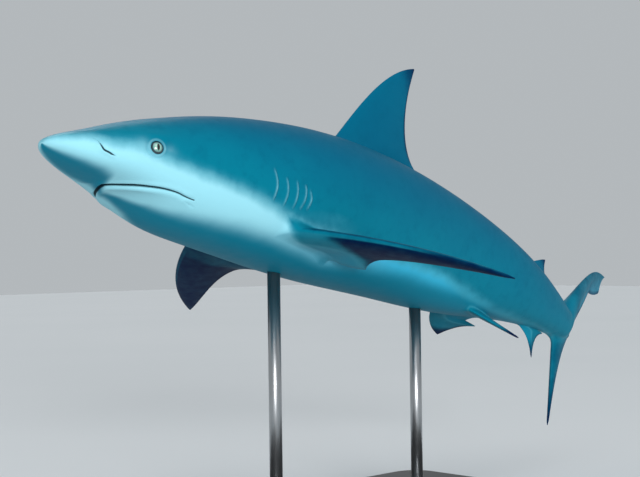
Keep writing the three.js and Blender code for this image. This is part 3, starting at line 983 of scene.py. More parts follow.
@dataclass
class Markings:
    """Where the skin is dark, pale, dusky or creased, and where shade and highlights are painted on it, kept
    as numbers on its vertices.
    """

    body: Body
    relief: Relief
    fins: list[Fin]
    # station and turn of the border between the dark back and the pale belly
    border: Plane = (
        (0, 0.3), (4.6, 0.84), (14, 1.11), (31, 1.165), (47, 1.172), (60.5, 1.21), (74, 1.345),
        (88, 1.455), (111, 1.462), (131, 1.485), (149, 1.62), (164, 1.677), (197, 1.744), (231, 1.815),
        (281, 1.884), (323, 1.917), (367.5, 1.94), (399.5, 1.98), (440, 2.05), (520, 2.1), (700, 2.13),
        (900, 2.16), (1000, 2.3), (1148, 2.6), (1300, 2.9), (1420, 3.1), (1600, 3.2), (2000, 3.3),
    )
    least_radius: float = 6.0
    # step of the border over the root of the pectoral fin: along the body and round it
    shoulder: tuple[Hill, Hill] = (Hill(540, 75, 22), Hill(1.79, 0.13))
    # station and turn at which the pale skin is half turned to the blue-green painted shade of the underside
    belly: Plane = (
        (0, 2.65), (34, 2.5), (55, 2.45), (87, 2.5), (107, 2.65), (116, 2.9), (124, 3.2), (137, 3.3),
        (148, 3.22), (156, 3.12), (166, 3.04), (176, 2.94), (186, 2.83), (203, 2.73), (232, 2.59),
        (288, 2.46), (345, 2.38), (434, 2.33), (490, 2.38), (560, 2.46), (660, 2.34), (780, 2.27),
        (1000, 2.25), (1200, 2.45), (1500, 3.0),
    )
    # station and half width, in turn, of that change
    belly_spread: Plane = ((90, 0.44), (130, 0.18), (166, 0.18), (235, 0.3))
    right_belly_limit: float = 2.8
    fin_belly: float = 0.8
    # greyish patches, by the distances behind the middle of the eye and above it
    patch_ahead: tuple[Hill, Hill] = (Hill(-24, 12, 0.95), Hill(2, 13))
    patch_behind: tuple[Hill, Hill] = (Hill(24, 11, 0.55), Hill(-4, 9))
    lid_rim: Hill = Hill(13.6, 1.7, 0.9)
    patch_reach: float = 90.0
    # painted highlight along the edge of each gill flap
    gill_rim: Hill = Hill(-1.7, 1.8, 1.5)
    gill_rim_reach: float = 12.0
    crease_reach: float = 20.0

    def above_border(self, station: Array, turn: Array) -> Array:
        """Distance above the border between dark and pale.

        Args:
            station: Distances back from the nose.
            turn: Angles round the body.

        Returns:
            Millimetres, negative on the pale side.
        """
        level = np.interp(station, *np.array(self.border).T)
        folded = np.arccos(np.clip(np.cos(turn), -1, 1))
        scale = np.maximum(self.body.radius(station, np.minimum(level, math.pi)), self.least_radius)
        along, round_body = self.shoulder
        return (level - folded) * scale - along.at(station) * round_body.at(folded)

    def underside(self, sites: Sites) -> Array:
        """How far the pale skin has turned to the blue-green painted shade of the underside.

        Args:
            sites: Sites of the vertices.

        Returns:
            Shares between 0 and 1.
        """
        level = np.interp(sites.station, *np.array(self.belly).T)
        spread = np.interp(sites.station, *np.array(self.belly_spread).T)
        turn = np.mod(sites.turn, FULL_TURN)
        found = smoothstep(turn, level - spread, level + spread)
        # painted shade: on the right side, away from the light, the shade starts higher under the chin
        level = np.minimum(level, self.right_belly_limit)
        found = found * smoothstep(FULL_TURN - turn, level - spread, level + spread)
        for fin, own, picked in sites.of_fins(self.fins):
            if isinstance(fin, FlankFin):
                # painted shade carried out from the body over the paired fins
                grown = self.fin_belly * smoothstep(own.span, -0.9, 0.1)
                found[picked] = np.maximum(found[picked], grown)
        return found

    @staticmethod
    def _fin_tone(fin: Fin, own: Sites) -> Array:
        """Tone of a fin of its own, whatever the body is like at its root.

        Args:
            fin: The fin.
            own: Sites of its vertices.

        Returns:
            Millimetres above the border.
        """
        if isinstance(fin, FlankFin):
            # painted shade: the paired fins' undersides take the dark flank tone, pale only at the rear of
            # the root
            upper = fin.handed * own.across
            pale_root = smoothstep(own.fore, 0.3, 0.65) * (1 - smoothstep(own.span, 0.12, 0.3))
            return 14 * upper + 34 - 50 * pale_root * (upper < 0)
        if fin.name == "anal_fin":
            return -16 + 60 * smoothstep(own.fore, 0.25, 0.7)
        if fin.name == "caudal_lower_lobe":
            return 20 + 90 * own.fore
        return np.full(len(own.fore), 150.0)

    def tone(self, sites: Sites) -> Array:
        """Distance above the border, carried over from the body to the fins.

        Args:
            sites: Sites of the vertices.

        Returns:
            Millimetres, negative where the skin is pale.
        """
        tone = self.above_border(sites.station, sites.turn)
        for fin, own, picked in sites.of_fins(self.fins):
            tone[picked] += (self._fin_tone(fin, own) - tone[picked]) * smoothstep(own.span, -0.9, 0.05)
        return tone

    @staticmethod
    def _fin_dusk(fin: Fin, own: Sites) -> Array:
        """Depth of the blackish tip and margin of one fin, and of the painted shade on some fins.

        Args:
            fin: The fin.
            own: Sites of its vertices.

        Returns:
            Shares between 0 and 1.
        """
        fore, span = own.fore, own.span
        upper = smoothstep(fin.handed * own.across, -0.8, 0.8)
        rear = smoothstep(fore, 0.72, 1.0) * smoothstep(span, 0.15, 0.4)
        tip = smoothstep(span, 0.72, 1.0)
        if fin.name.startswith("pectoral"):
            # pectoral undersides: dusky colour and painted shade; the leading rim is left paler, a painted
            # highlight
            rim = (1 - smoothstep(fore, 0.0, 0.06)) * (1 - smoothstep(span, 0.45, 0.7))
            below = 0.88 * smoothstep(span - 0.15 * fore, 0.12, 0.22) * (1 - 0.7 * rim)
            # painted shade: the right fin's underside darkened from its root
            if fin.side == RIGHT:
                below = np.maximum(below, 0.66 * smoothstep(span, -0.6, 0.05))
            front = 0.6 * (1 - smoothstep(fore, 0.0, 0.2)) * smoothstep(span, -0.2, 0.1)
            above = np.maximum(front, 0.85 * np.maximum(tip, rear))
            return (1 - upper) * np.maximum(below, rear) + upper * above
        if fin.name.startswith("pelvic"):
            return np.maximum(0.8 * rear, smoothstep(span, 0.45, 0.9))
        if fin.name == "first_dorsal_fin":
            margin = smoothstep(fore, 0.86, 1.0) * smoothstep(span, 0.2, 0.5)
            return np.maximum(0.7 * margin, 0.75 * tip)
        if fin.name == "caudal_lower_lobe":
            # dusky tip, and painted shade over the whole lobe
            blade_dusk_and_shade = 0.45 + 0.4 * smoothstep(span, 0.35, 0.9)
            return np.maximum(0.5 * rear, blade_dusk_and_shade) * smoothstep(span, -0.8, 0.2)
        return np.maximum(0.75 * rear, 0.8 * smoothstep(span, 0.4, 0.95))

    def dusk_and_shade(self, sites: Sites) -> Array:
        """Depth of the blackish tips and margins of the fins, and of the shade painted on the paired fins and
        the tail.

        Args:
            sites: Sites of the vertices.

        Returns:
            Shares between 0 and 1.
        """
        share = (sites.station - self.body.end) / self.body.lobe_stations
        under = (1 - np.cos(sites.turn)) / 2
        margin = smoothstep(under, 0.55, 0.98) * smoothstep(share, 0.2, 0.4)
        # upper lobe: dusky lower margin, and painted shade over the blade
        blade_dusk_and_shade = np.maximum(0.75 * margin, 0.5 * smoothstep(share, 0.05, 0.3))
        dusk_and_shade = np.where(sites.fin == 0, blade_dusk_and_shade, 0.0)
        for fin, own, picked in sites.of_fins(self.fins):
            dusk_and_shade[picked] = self._fin_dusk(fin, own)
        return dusk_and_shade

    def blush_and_highlight(self, points: Array) -> Array:
        """Strength of the greyish patches about the eye and of the painted highlights along the edges of the
        gill flaps.

        Args:
            points: Points of the plain surface.

        Returns:
            Shares between 0 and 1.
        """
        behind, above = self.relief.eye_offsets(points)
        reach = np.hypot(behind, above)
        blush_and_highlight = self.lid_rim.at(reach)
        for along, across in (self.patch_ahead, self.patch_behind):
            blush_and_highlight = blush_and_highlight + along.at(behind) * across.at(above)
        blush_and_highlight = blush_and_highlight * (reach < self.patch_reach)
        # painted highlights along the edges of the gill flaps
        for line in self.relief.slits:
            behind, share = line.nearest(points, self.crease_reach)
            ends = np.sin(math.pi * share) ** 0.7 * (np.abs(behind) < self.gill_rim_reach)
            blush_and_highlight += self.gill_rim.at(behind) * ends
        return blush_and_highlight

    def creases(self, points: Array) -> Array:
        """Distance outside the nearest crease of the head, which is painted with shade.

        Args:
            points: Points of the plain surface.

        Returns:
            Millimetres, negative within the crease.
        """
        relief, reach = self.relief, self.crease_reach
        ahead, share = relief.mouth.nearest(points, reach)
        gaps = [np.full(len(points), reach)]
        gaps.append(np.abs(ahead - 0.3) - (2.1 - 1.5 * smoothstep(share, 0.25, 0.95)))
        slit, share = relief.nostril.nearest(points, reach)
        width = 1.5 * smoothstep(share, 0.1, 0.5) * (1 - smoothstep(share, 0.8, 1.0))
        gaps.append(np.abs(slit) + 0.5 - width)
        gaps.append(np.abs(relief.furrow.nearest(points, reach)[0]) + 0.5)
        for line in relief.slits:
            behind, share = line.nearest(points, reach)
            width = np.sin(math.pi * np.clip(share, 0.02, 0.98)) ** 0.5
            gaps.append(np.maximum(np.abs(behind - 1.0) - width, 0.2) + 0.3)
        return np.minimum.reduce(gaps)


# ------------------------------------------------------------------ the skin


def draw_out(shell: BMesh, faces: list[BMFace], keep: bool = False) -> tuple[list[BMFace], list[BMVert]]:
    """Extrudes a patch of a shell.

    Args:
        shell: The shell.
        faces: Faces of the patch.
        keep: Whether the old faces stay, as the far end of a solid.

    Returns:
        The faces and vertices of the patch in its new place.
    """
    grown = bmesh.ops.extrude_face_region(shell, geom=faces)["geom"]
    if not keep:
        bmesh.ops.delete(shell, geom=faces, context="FACES")
    moved = [item for item in grown if isinstance(item, BMFace)]
    return moved, [item for item in grown if isinstance(item, BMVert)]


def read(verts: list[BMVert], layer: bmesh.types.BMLayerItem) -> Array:
    """What a layer holds at each vertex."""
    return np.array([vert[layer] for vert in verts])


def keep_numbers(mesh: bpy.types.Mesh, name: str, values: Array) -> None:
    """Keeps one number for each vertex of a mesh."""
    layer = mesh.attributes.new(name, "FLOAT", "POINT")
    layer.data.foreach_set("value", np.asarray(values, np.float32))


def to_scene(shape: BMesh, name: str) -> bpy.types.Object:
    """Makes a smooth object of a finished shape whose sizes are in metres.

    Args:
        shape: The shape, which is freed.
        name: The object's name.

    Returns:
        The object.
    """
    for face in shape.faces:
        face.smooth = True
    mesh = bpy.data.meshes.new(name)
    shape.to_mesh(mesh)
    shape.free()
    made = bpy.data.objects.new(name, mesh)
    bpy.context.collection.objects.link(made)
    return made


@dataclass
class Socket:
    """Pocket that the skin makes for an eyeball."""

    # half size and depth of each ring; the first few are ovals like the opening
    rings: Plane = (
        (10.5, -0.25), (10.2, 0.15), (10.35, 0.8), (12.9, 2.6), (15.2, 6.0), (16.6, 12.5), (14.6, 20.5),
        (8.5, 27.0), (2.0, 29.2),
    )
    ovals: int = 3
    oval_size: float = 10.2
    margin: float = 0.5


@dataclass
class SharkSkin:
    """One closed skin over the whole animal, drawn out of a flat sheet."""

    spine: Spine
    body: Body
    relief: Relief
    markings: Markings
    fins: list[Fin]
    socket: Socket = field(default_factory=Socket)
    seam_turn: float = -0.7
    seam_gap: float = 0.02
    nose_steps: int = 14
    # from, to and spacing of the lines across the body and of the lines along it
    station_bands: tuple[Band, ...] = (
        (30, 108, 3.2), (108, 130, 1.7), (130, 178, 2.2), (178, 250, 3.0), (250, 364, 6.0),
        (364, 468, 1.6), (468, 560, 5.0), (560, 1500, 9.2), (1500, 1900, 8.5), (1900, 2000, 6.5),
    )
    turn_bands: tuple[Band, ...] = (
        (0.0, 0.2, 0.04), (0.2, 0.8, 0.075), (0.8, 1.0, 0.05), (1.0, 2.34, 0.027), (2.34, 2.82, 0.036),
        (2.82, math.pi, 0.05),
    )
    # distance within which the squares are halved about the creases, the mouth and the eyes
    crease_halving: float = 6.5
    mouth_halving: float = 3.0
    eye_halving: float = 24.0
    eye_end: float = 200.0
    # how far ahead of a fin, behind it and beside it its lines are shifted
    shift_ahead: float = 100.0
    shift_behind: float = 120.0
    shift_beside: tuple[float, float] = (0.22, 0.8)
    eye_rounding: float = 2.4
    fillet_steps: tuple[float, ...] = (0.16, 0.34, 0.52, 0.7, 0.86, 1.0)
    ring_crowding: float = 1.25
    weld: float = 0.02
    tail_join: tuple[float, float] = (1470.0, 1535.0)

    def stations(self) -> Array:
        """Stations of the lines across the body, close together at the nose.

        Returns:
            Rising stations.
        """
        nose_end = self.station_bands[0][0]
        nose = nose_end * (np.arange(self.nose_steps) / self.nose_steps) ** 2
        return np.concatenate([nose, *self._bands(self.station_bands), [self.station_bands[-1][1]]])

    def turns(self) -> Array:
        """Turns of the lines along the body, starting and ending at the seam.

        Returns:
            Rising turns.
        """
        half = np.concatenate([*self._bands(self.turn_bands), [math.pi]])
        ring = np.concatenate([half, FULL_TURN - half[1:-1]])
        ring = np.where(ring > FULL_TURN + self.seam_turn, ring - FULL_TURN, ring)
        ring = ring[np.abs(ring - self.seam_turn) > self.seam_gap]
        return np.sort(np.concatenate([ring, [self.seam_turn, self.seam_turn + FULL_TURN]]))

    @staticmethod
    def _bands(bands: tuple[Band, ...]) -> list[Array]:
        """Even positions inside each band, without its end.

        Args:
            bands: Start, end and spacing of each band.

        Returns:
            One row of positions for each band.
        """
        found = []
        for low, high, spacing in bands:
            count = round((high - low) / spacing)
            found.append(low + (high - low) * np.arange(count) / count)
        return found

    def build(self) -> bpy.types.Object:
        """Makes the skin's object, in place over the stand.

        Returns:
            The finished object, without a material.
        """
        sheet = self._sheet()
        self._refine(sheet)
        layers = self._layers(sheet)
        patches = [(fin, self._footprint(sheet, layers, fin)) for fin in self.fins]
        sockets = [(side, self._opening(sheet, layers, side)) for side in (LEFT, RIGHT)]
        self._lay(sheet, layers)
        for fin, faces in patches:
            self._raise_fin(sheet, layers, fin, faces)
        for side, faces in sockets:
            self._sink_socket(sheet, layers, side, faces)
        self._close(sheet, layers)
        return self._finish(sheet, layers)

    def _sheet(self) -> BMesh:
        """Flat grid whose x is the station and whose y is the turn.

        Returns:
            The sheet.
        """
        stations, turns = self.stations(), self.turns()
        sheet = bmesh.new()
        bmesh.ops.create_grid(sheet, x_segments=len(stations) - 1, y_segments=len(turns) - 1, size=1.0)
        for vert in sheet.verts:
            column = round((vert.co.x + 1) / 2 * (len(stations) - 1))
            row = round((vert.co.y + 1) / 2 * (len(turns) - 1))
            vert.co = (stations[column], turns[row], 0.0)
        return sheet

    def _refine(self, sheet: BMesh) -> None:
        """Halves the squares about the eyes, nostrils and mouth, and again at the lips.

        Args:
            sheet: Flat sheet.
        """
        relief = self.relief
        all_lines = (relief.mouth, relief.nostril, relief.furrow)
        for reach, lines in ((self.crease_halving, all_lines), (self.mouth_halving, (relief.mouth,))):
            table = np.array([vert.co[:2] for vert in sheet.verts])
            points = self.body.surface(table[:, 0], table[:, 1])
            near = np.zeros(len(table), bool)
            for line in lines:
                near |= np.abs(line.nearest(points, reach + 1)[0]) < reach
            if lines is all_lines:
                from_eye = np.hypot(*relief.eye_offsets(points))
                near |= (from_eye < self.eye_halving) & (table[:, 0] < self.eye_end)
            sheet.verts.index_update()
            edges = [edge for edge in sheet.edges if all(near[vert.index] for vert in edge.verts)]
            bmesh.ops.subdivide_edges(sheet, edges=edges, cuts=1, use_grid_fill=True)

    def _layers(self, sheet: BMesh) -> Layers:
        """Numbers kept on each vertex, which extrusion copies.

        Args:
            sheet: Flat sheet.

        Returns:
            The layers by name.
        """
        names = ("station", "turn", "fore", "across", "root", "span", "fin")
        for name in names:
            sheet.verts.layers.float.new(name)
        sheet.verts.layers.float_vector.new("foot")
        layers = {name: sheet.verts.layers.float[name] for name in names}
        layers["foot"] = sheet.verts.layers.float_vector["foot"]
        for vert in sheet.verts:
            vert[layers["station"]] = vert.co.x
            vert[layers["turn"]] = vert.co.y
        return layers

    @staticmethod
    def _patch(sheet: BMesh, middle: tuple[float, float], half: tuple[float, float]) -> list[BMFace]:
        """Faces of the flat sheet whose middles lie in a rectangle.

        Args:
            sheet: Flat sheet.
            middle: Station and turn of the rectangle's middle.
            half: Half of its size both ways.

        Returns:
            The faces.
        """
        faces = []
        for face in sheet.faces:
            centre = face.calc_center_median()
            if abs(centre.x - middle[0]) < half[0] and abs(centre.y - middle[1]) < half[1]:
                faces.append(face)
        return faces

    def _footprint(self, sheet: BMesh, layers: Layers, fin: Fin) -> list[BMFace]:
        """Finds the patch that a fin grows from and bends the sheet's lines along its root.

        Args:
            sheet: Flat sheet.
            layers: Layers of the sheet.
            fin: The fin.

        Returns:
            Faces of the patch.
        """
        low, high = fin.stations
        faces = self._patch(sheet, ((low + high) / 2, fin.turn), ((high - low) / 2, fin.turn_half))
        patch = list({vert for face in faces for vert in face.verts})
        station, turn = np.array([vert.co.x for vert in patch]), read(patch, layers["turn"])
        fore = (station - station.min()) / np.ptp(station)
        across = 2 * (turn - turn.min()) / np.ptp(turn) - 1
        for vert, a, b in zip(patch, fore, across):
            vert[layers["fore"]] = a
            vert[layers["across"]] = b
        if isinstance(fin, FlankFin):
            self._follow_root(sheet, layers, fin)
        return faces

    def _follow_root(self, sheet: BMesh, layers: Layers, fin: Fin) -> None:
        """Shifts the lines along the body so that they follow a tilted root.

        Args:
            sheet: Flat sheet.
            layers: Layers of the sheet.
            fin: The fin.
        """
        at, root_turn = fin.root_line()
        rising = np.argsort(at)
        low, high = fin.stations
        start, end = low - self.shift_ahead, high + self.shift_behind
        verts = [vert for vert in sheet.verts if start < vert.co.x < end]
        station, turn = np.array([vert.co.x for vert in verts]), read(verts, layers["turn"])
        shift = np.interp(station, at[rising], root_turn[rising]) - fin.turn
        fade = smoothstep(station, start, low) * (1 - smoothstep(station, high, end))
        fade = fade * (1 - smoothstep(np.abs(turn - fin.turn), *self.shift_beside))
        for vert, move in zip(verts, shift * fade):
            vert.co.y += move

    def _opening(self, sheet: BMesh, layers: Layers, side: float) -> list[BMFace]:
        """Finds the square patch of an eye opening and rounds it.

        Args:
            sheet: Flat sheet.
            layers: Layers of the sheet.
            side: LEFT or RIGHT.

        Returns:
            Faces of the patch.
        """
        eye = self.relief.eye
        turn = eye.turn if side == LEFT else FULL_TURN - eye.turn
        half_turn = eye.half_height / float(self.body.radius(np.array(eye.station), np.array(turn)))
        faces = self._patch(sheet, (eye.station, turn), (eye.half_length, half_turn))
        patch = {vert for face in faces for vert in face.verts}
        corners = [(min(row), max(row)) for row in zip(*(vert.co[:2] for vert in patch))]
        (middle_x, half_x), (middle_y, half_y) = (((b + a) / 2, (b - a) / 2) for a, b in corners)
        for vert in sheet.verts:
            a, b = (vert.co.x - middle_x) / half_x, (vert.co.y - middle_y) / half_y
            square = max(abs(a), abs(b))
            if square > self.eye_rounding:
                continue
            ratio = square / max(math.hypot(a, b), 1e-6)
            rounding = 1 - float(smoothstep(square, 1.0, self.eye_rounding))
            vert.co.x += (eye.station + eye.half_length * a * ratio - vert.co.x) * rounding
            vert.co.y += (turn + half_turn * b * ratio - vert.co.y) * rounding
            if vert in patch:
                vert[layers["fore"]] = a * ratio
                vert[layers["across"]] = b * ratio
        return faces

    def _lay(self, sheet: BMesh, layers: Layers) -> None:
        """Wraps the flat sheet round the body, with its relief.

        Args:
            sheet: Flat sheet, which becomes the skin.
            layers: Layers of the sheet.
        """
        table = np.array([vert.co[:2] for vert in sheet.verts])
        points = self.relief.apply(table[:, 0], table[:, 1])
        for vert, (station, turn), point in zip(sheet.verts, table, points):
            vert[layers["station"]] = station
            vert[layers["turn"]] = turn
            vert[layers["foot"]] = point
            vert.co = point

    def _raise_fin(self, sheet: BMesh, layers: Layers, fin: Fin, faces: list[BMFace]) -> None:
        """Draws a fin out of its patch, ring by ring.

        Args:
            sheet: The skin.
            layers: Layers of the skin.
            fin: The fin.
            faces: Faces of its patch.
        """
        patch = list({vert for face in faces for vert in face.verts})
        roots = fin.root_span(read(patch, layers["fore"]), read(patch, layers["across"]))
        for vert, root in zip(patch, roots):
            vert[layers["root"]] = root
        steps = [(share, 0.0) for share in self.fillet_steps]
        rings = np.arange(1, fin.levels + 1) / fin.levels
        steps += [(1.0, level) for level in 1 - (1 - rings) ** self.ring_crowding]
        number = float(self.fins.index(fin) + 1)
        for fillet, level in steps:
            faces, verts = draw_out(sheet, faces)
            fore, across, root, foot = (
                read(verts, layers[name]) for name in ("fore", "across", "root", "foot")
            )
            start = root + fin.fillet
            span = start + (fin.tip - start) * level
            point = fin.surface(fore, across, span)
            if level == 0.0:
                corner = fin.surface(fore, across, root)
                point = foot * (1 - fillet) ** 2 + corner * 2 * fillet * (1 - fillet) + point * fillet**2
            for vert, place, reach in zip(verts, point, span):
                vert.co = place
                vert[layers["fin"]] = number
                vert[layers["span"]] = reach if level > 0 else -1 + fillet

    def _sink_socket(self, sheet: BMesh, layers: Layers, side: float, faces: list[BMFace]) -> None:
        """Turns an eye opening inwards round its eyeball.

        Args:
            sheet: The skin.
            layers: Layers of the skin.
            side: LEFT or RIGHT.
            faces: Faces of the opening.
        """
        eye, socket = self.relief.eye, self.socket
        centre, rearward, upward, outward = eye.frame_on(self.body, side)
        for i, (radius, depth) in enumerate(socket.rings):
            faces, verts = draw_out(sheet, faces)
            wide, tall = radius, radius
            if i < socket.ovals:
                wide = (eye.half_length - socket.margin) * radius / socket.oval_size
                tall = (eye.half_height - socket.margin) * radius / socket.oval_size
            rising = max(0.0, 1 - (i + 1) / socket.ovals)
            for vert in verts:
                fore, rise = vert[layers["fore"]], side * vert[layers["across"]]
                edge = centre + rearward * (fore * eye.half_length) + upward * (rise * eye.half_height)
                curve = (np.array(vert[layers["foot"]]) - edge) @ outward
                flat = centre + rearward * (fore * wide) + upward * (rise * tall)
                vert.co = flat + outward * (curve * rising - depth)
                vert[layers["fin"]] = -1.0
                vert[layers["span"]] = depth

    @staticmethod
    def _soften(sheet: BMesh, verts: list[BMVert], times: int, factor: float) -> None:
        """Smooths some of the skin.

        Args:
            sheet: The skin.
            verts: Vertices that move.
            times: Number of passes.
            factor: Share of the way that they move in each pass.
        """
        for _ in range(times):
            bmesh.ops.smooth_vert(
                sheet, verts=verts, factor=factor, use_axis_x=True, use_axis_y=True, use_axis_z=True
            )

    def _close(self, sheet: BMesh, layers: Layers) -> None:
        """Welds the seam, the nose and the tip of the tail, and softens the joins.

        Args:
            sheet: The skin.
            layers: Layers of the skin.
        """
        rim = [vert for vert in sheet.verts if vert.is_boundary]
        bmesh.ops.remove_doubles(sheet, verts=rim, dist=self.weld)
        station, fin, span = (layers[name] for name in ("station", "fin", "span"))
        low, high = self.tail_join
        tail = [vert for vert in sheet.verts if low < vert[station] < high and not vert[fin]]
        self._soften(sheet, tail, 4, 0.5)
        self._soften(sheet, [vert for vert in sheet.verts if vert[fin] > 0 and vert[span] < 0], 2, 0.4)
        bmesh.ops.dissolve_degenerate(sheet, dist=self.weld / 2, edges=sheet.edges[:])
        bmesh.ops.recalc_face_normals(sheet, faces=sheet.faces[:])

    def _finish(self, sheet: BMesh, layers: Layers) -> bpy.types.Object:
        """Places the skin over the stand and keeps its markings as attributes.

        Args:
            sheet: The skin.
            layers: Layers of the skin.

        Returns:
            The object.
        """
        sites = Sites(*(read(sheet.verts, layers[name]) for name in Sites.__annotations__))
        places = self.spine.place(np.array([vert.co[:] for vert in sheet.verts]))
        for vert, place in zip(sheet.verts, places):
            vert.co = place
        for name in layers:
            kind = sheet.verts.layers.float_vector if name == "foot" else sheet.verts.layers.float
            kind.remove(kind[name])
        skin = to_scene(sheet, "shark_skin")
        plain = self.body.surface(sites.station, sites.turn)
        on_body = sites.fin < 0.5
        # painted shade deep inside each eye socket
        socket_shade = np.where(sites.span > 0.3, -2.0, 4.0)
        creases = np.where(on_body, self.markings.creases(plain), self.markings.crease_reach)
        keep_numbers(skin.data, "above_border", self.markings.tone(sites))
        keep_numbers(skin.data, "underside", self.markings.underside(sites))
        keep_numbers(skin.data, "dusk_and_shade", self.markings.dusk_and_shade(sites))
        keep_numbers(skin.data, "crease_shade", np.where(sites.fin < -0.5, socket_shade, creases))
        keep_numbers(skin.data, "blush_and_highlight", np.where(on_body, self.markings.blush_and_highlight(plain), 0.0))
        return skin


# ------------------------------------------------------------------ shader maths


def tint(red: float, green: float, blue: float) -> Paint:
    """Linear colour of a paint swatch.

    Args:
        red: Red of the swatch, 0 to 255.
        green: Green of the swatch.
        blue: Blue of the swatch.

    Returns:
        Red, green, blue and an alpha of 1.
    """

    def straight(value: float) -> float:
        """Undoes the display curve of one channel."""
        share = value / 255
        return share / 12.92 if share <= 0.04045 else ((share + 0.055) / 1.055) ** 2.4

    return straight(red), straight(green), straight(blue), 1.0


class Signal:
    """Number on its way between two shader nodes, which adds Math nodes as it is reckoned with."""

    def __init__(self, graph: "Graph", socket: bpy.types.NodeSocket) -> None:
        """Keeps the socket that the number comes out of."""
        self.graph = graph
        self.socket = socket

    def _math(self, operation: str, *values: "Signal | float") -> "Signal":
        """Result of one Math node."""
        node = self.graph.node("ShaderNodeMath", {"operation": operation}, dict(enumerate(values)))
        return Signal(self.graph, node.outputs[0])

    def __add__(self, other: "Signal | float") -> "Signal":
        """Sum."""
        return self._math("ADD", self, other)

    def __radd__(self, other: float) -> "Signal":
        """Sum with a number on the left."""
        return self._math("ADD", other, self)

    def __sub__(self, other: "Signal | float") -> "Signal":
        """Difference."""
        return self._math("SUBTRACT", self, other)

    def __rsub__(self, other: float) -> "Signal":
        """Difference from a number on the left."""
        return self._math("SUBTRACT", other, self)

    def __mul__(self, other: "Signal | float") -> "Signal":
        """Product."""
        return self._math("MULTIPLY", self, other)

    def __rmul__(self, other: float) -> "Signal":
        """Product with a number on the left."""
        return self._math("MULTIPLY", other, self)

    def __truediv__(self, other: "Signal | float") -> "Signal":
        """Quotient."""
        return self._math("DIVIDE", self, other)

    def __rtruediv__(self, other: float) -> "Signal":
        """Quotient of a number on the left."""
        return self._math("DIVIDE", other, self)

    def power(self, exponent: float) -> "Signal":
        """Power of the number."""
        return self._math("POWER", self, exponent)

    def rise(self, low: float, high: float) -> "Signal":
        """Smooth share that grows from 0 at low to 1 at high.

        Args:
            low: Value at which the share starts to grow.
            high: Value at which it is full; it may be less than low.

        Returns:
            The share.
        """
        if low > high:
            return 1 - self.rise(high, low)
        sockets = {"Value": self, "From Min": low, "From Max": high}
        node = self.graph.node("ShaderNodeMapRange", {"interpolation_type": "SMOOTHSTEP"}, sockets)
        return Signal(self.graph, node.outputs["Result"])


class Graph:
    """Node tree of one material."""

    def __init__(self, name: str) -> None:
        """Starts a material that holds nothing but a Principled shader and its output.

        Args:
            name: The material's name.
        """
        self.material = bpy.data.materials.new(name)
        self.material.use_nodes = True
        self.tree = self.material.node_tree
        self.tree.nodes.clear()
        self.shader = self.node("ShaderNodeBsdfPrincipled")
        self.node("ShaderNodeOutputMaterial", {}, {"Surface": self.shader.outputs[0]})

    def node(
        self,
        kind: str,
        settings: dict[str, object] | None = None,
        sockets: dict[str | int, object] | None = None,
    ) -> bpy.types.Node:
        """Adds a node.

        Args:
            kind: The node's type.
            settings: Properties, which are set first.
            sockets: Values or links of the input sockets, by name or number.

        Returns:
            The node.
        """
        node = self.tree.nodes.new(kind)
        for name, value in (settings or {}).items():
            setattr(node, name, value)
        for key, value in (sockets or {}).items():
            self.feed(node.inputs[key], value)
        return node

    def feed(self, socket: bpy.types.NodeSocket, value: object) -> None:
        """Links a socket, or sets its value.

        Args:
            socket: The input socket.
            value: A signal, an output socket or a plain value.
        """
        source = value.socket if isinstance(value, Signal) else value
        if isinstance(source, bpy.types.NodeSocket):
            self.tree.links.new(source, socket)
        else:
            socket.default_value = source

    def finish(self, **values: object) -> bpy.types.Material:
        """Feeds the Principled shader.

        Args:
            **values: Values or links; an underscore stands for a space in a socket's name.

        Returns:
            The material.
        """
        for name, value in values.items():
            self.feed(self.shader.inputs[name.replace("_", " ")], value)
        return self.material

    def place(self) -> bpy.types.NodeSocket:
        """Object coordinates."""
        return self.node("ShaderNodeTexCoord").outputs["Object"]

    def stretched(self, scale: Place) -> bpy.types.NodeSocket:
        """Object coordinates scaled along each axis."""
        return self.node("ShaderNodeMapping", {}, {"Vector": self.place(), "Scale": scale}).outputs[0]

    def along(self) -> Signal:
        """Metres along the model, from its middle towards the tail."""
        return Signal(self, self.node("ShaderNodeSeparateXYZ", {}, {0: self.place()}).outputs["X"])

    def number(self, attribute: str) -> Signal:
        """Number kept on the mesh."""
        return Signal(self, self.node("ShaderNodeAttribute", {"attribute_name": attribute}).outputs["Fac"])

    def noise(self, scale: float, detail: float = 2.0, rough: float = 0.5, place: object = None) -> Signal:
        """Soft cloudy pattern about a half; scale is the number of patches in a metre."""
        sockets = {"Vector": place or self.place(), "Scale": scale, "Detail": detail, "Roughness": rough}
        return Signal(self, self.node("ShaderNodeTexNoise", {}, sockets).outputs["Fac"])

    def cells(self, scale: float) -> Signal:
        """Distance from the nearest of many scattered points, in cells."""
        sockets = {"Vector": self.place(), "Scale": scale}
        return Signal(self, self.node("ShaderNodeTexVoronoi", {}, sockets).outputs["Distance"])

    def mix(self, share: Signal | float, first: object, second: object) -> bpy.types.NodeSocket:
        """Colour between two colours or links, by the share of the second."""
        return self.node("ShaderNodeMix", {"data_type": "RGBA"}, {0: share, 6: first, 7: second}).outputs[2]

    def bump(self, height: Signal, distance: float, strength: float = 1.0) -> bpy.types.NodeSocket:
        """Normal of a surface with fine relief, distance metres deep, of which a share shows."""
        sockets = {"Height": height, "Distance": distance, "Strength": strength}
        return self.node("ShaderNodeBump", {}, sockets).outputs["Normal"]


# ------------------------------------------------------------------ finishes


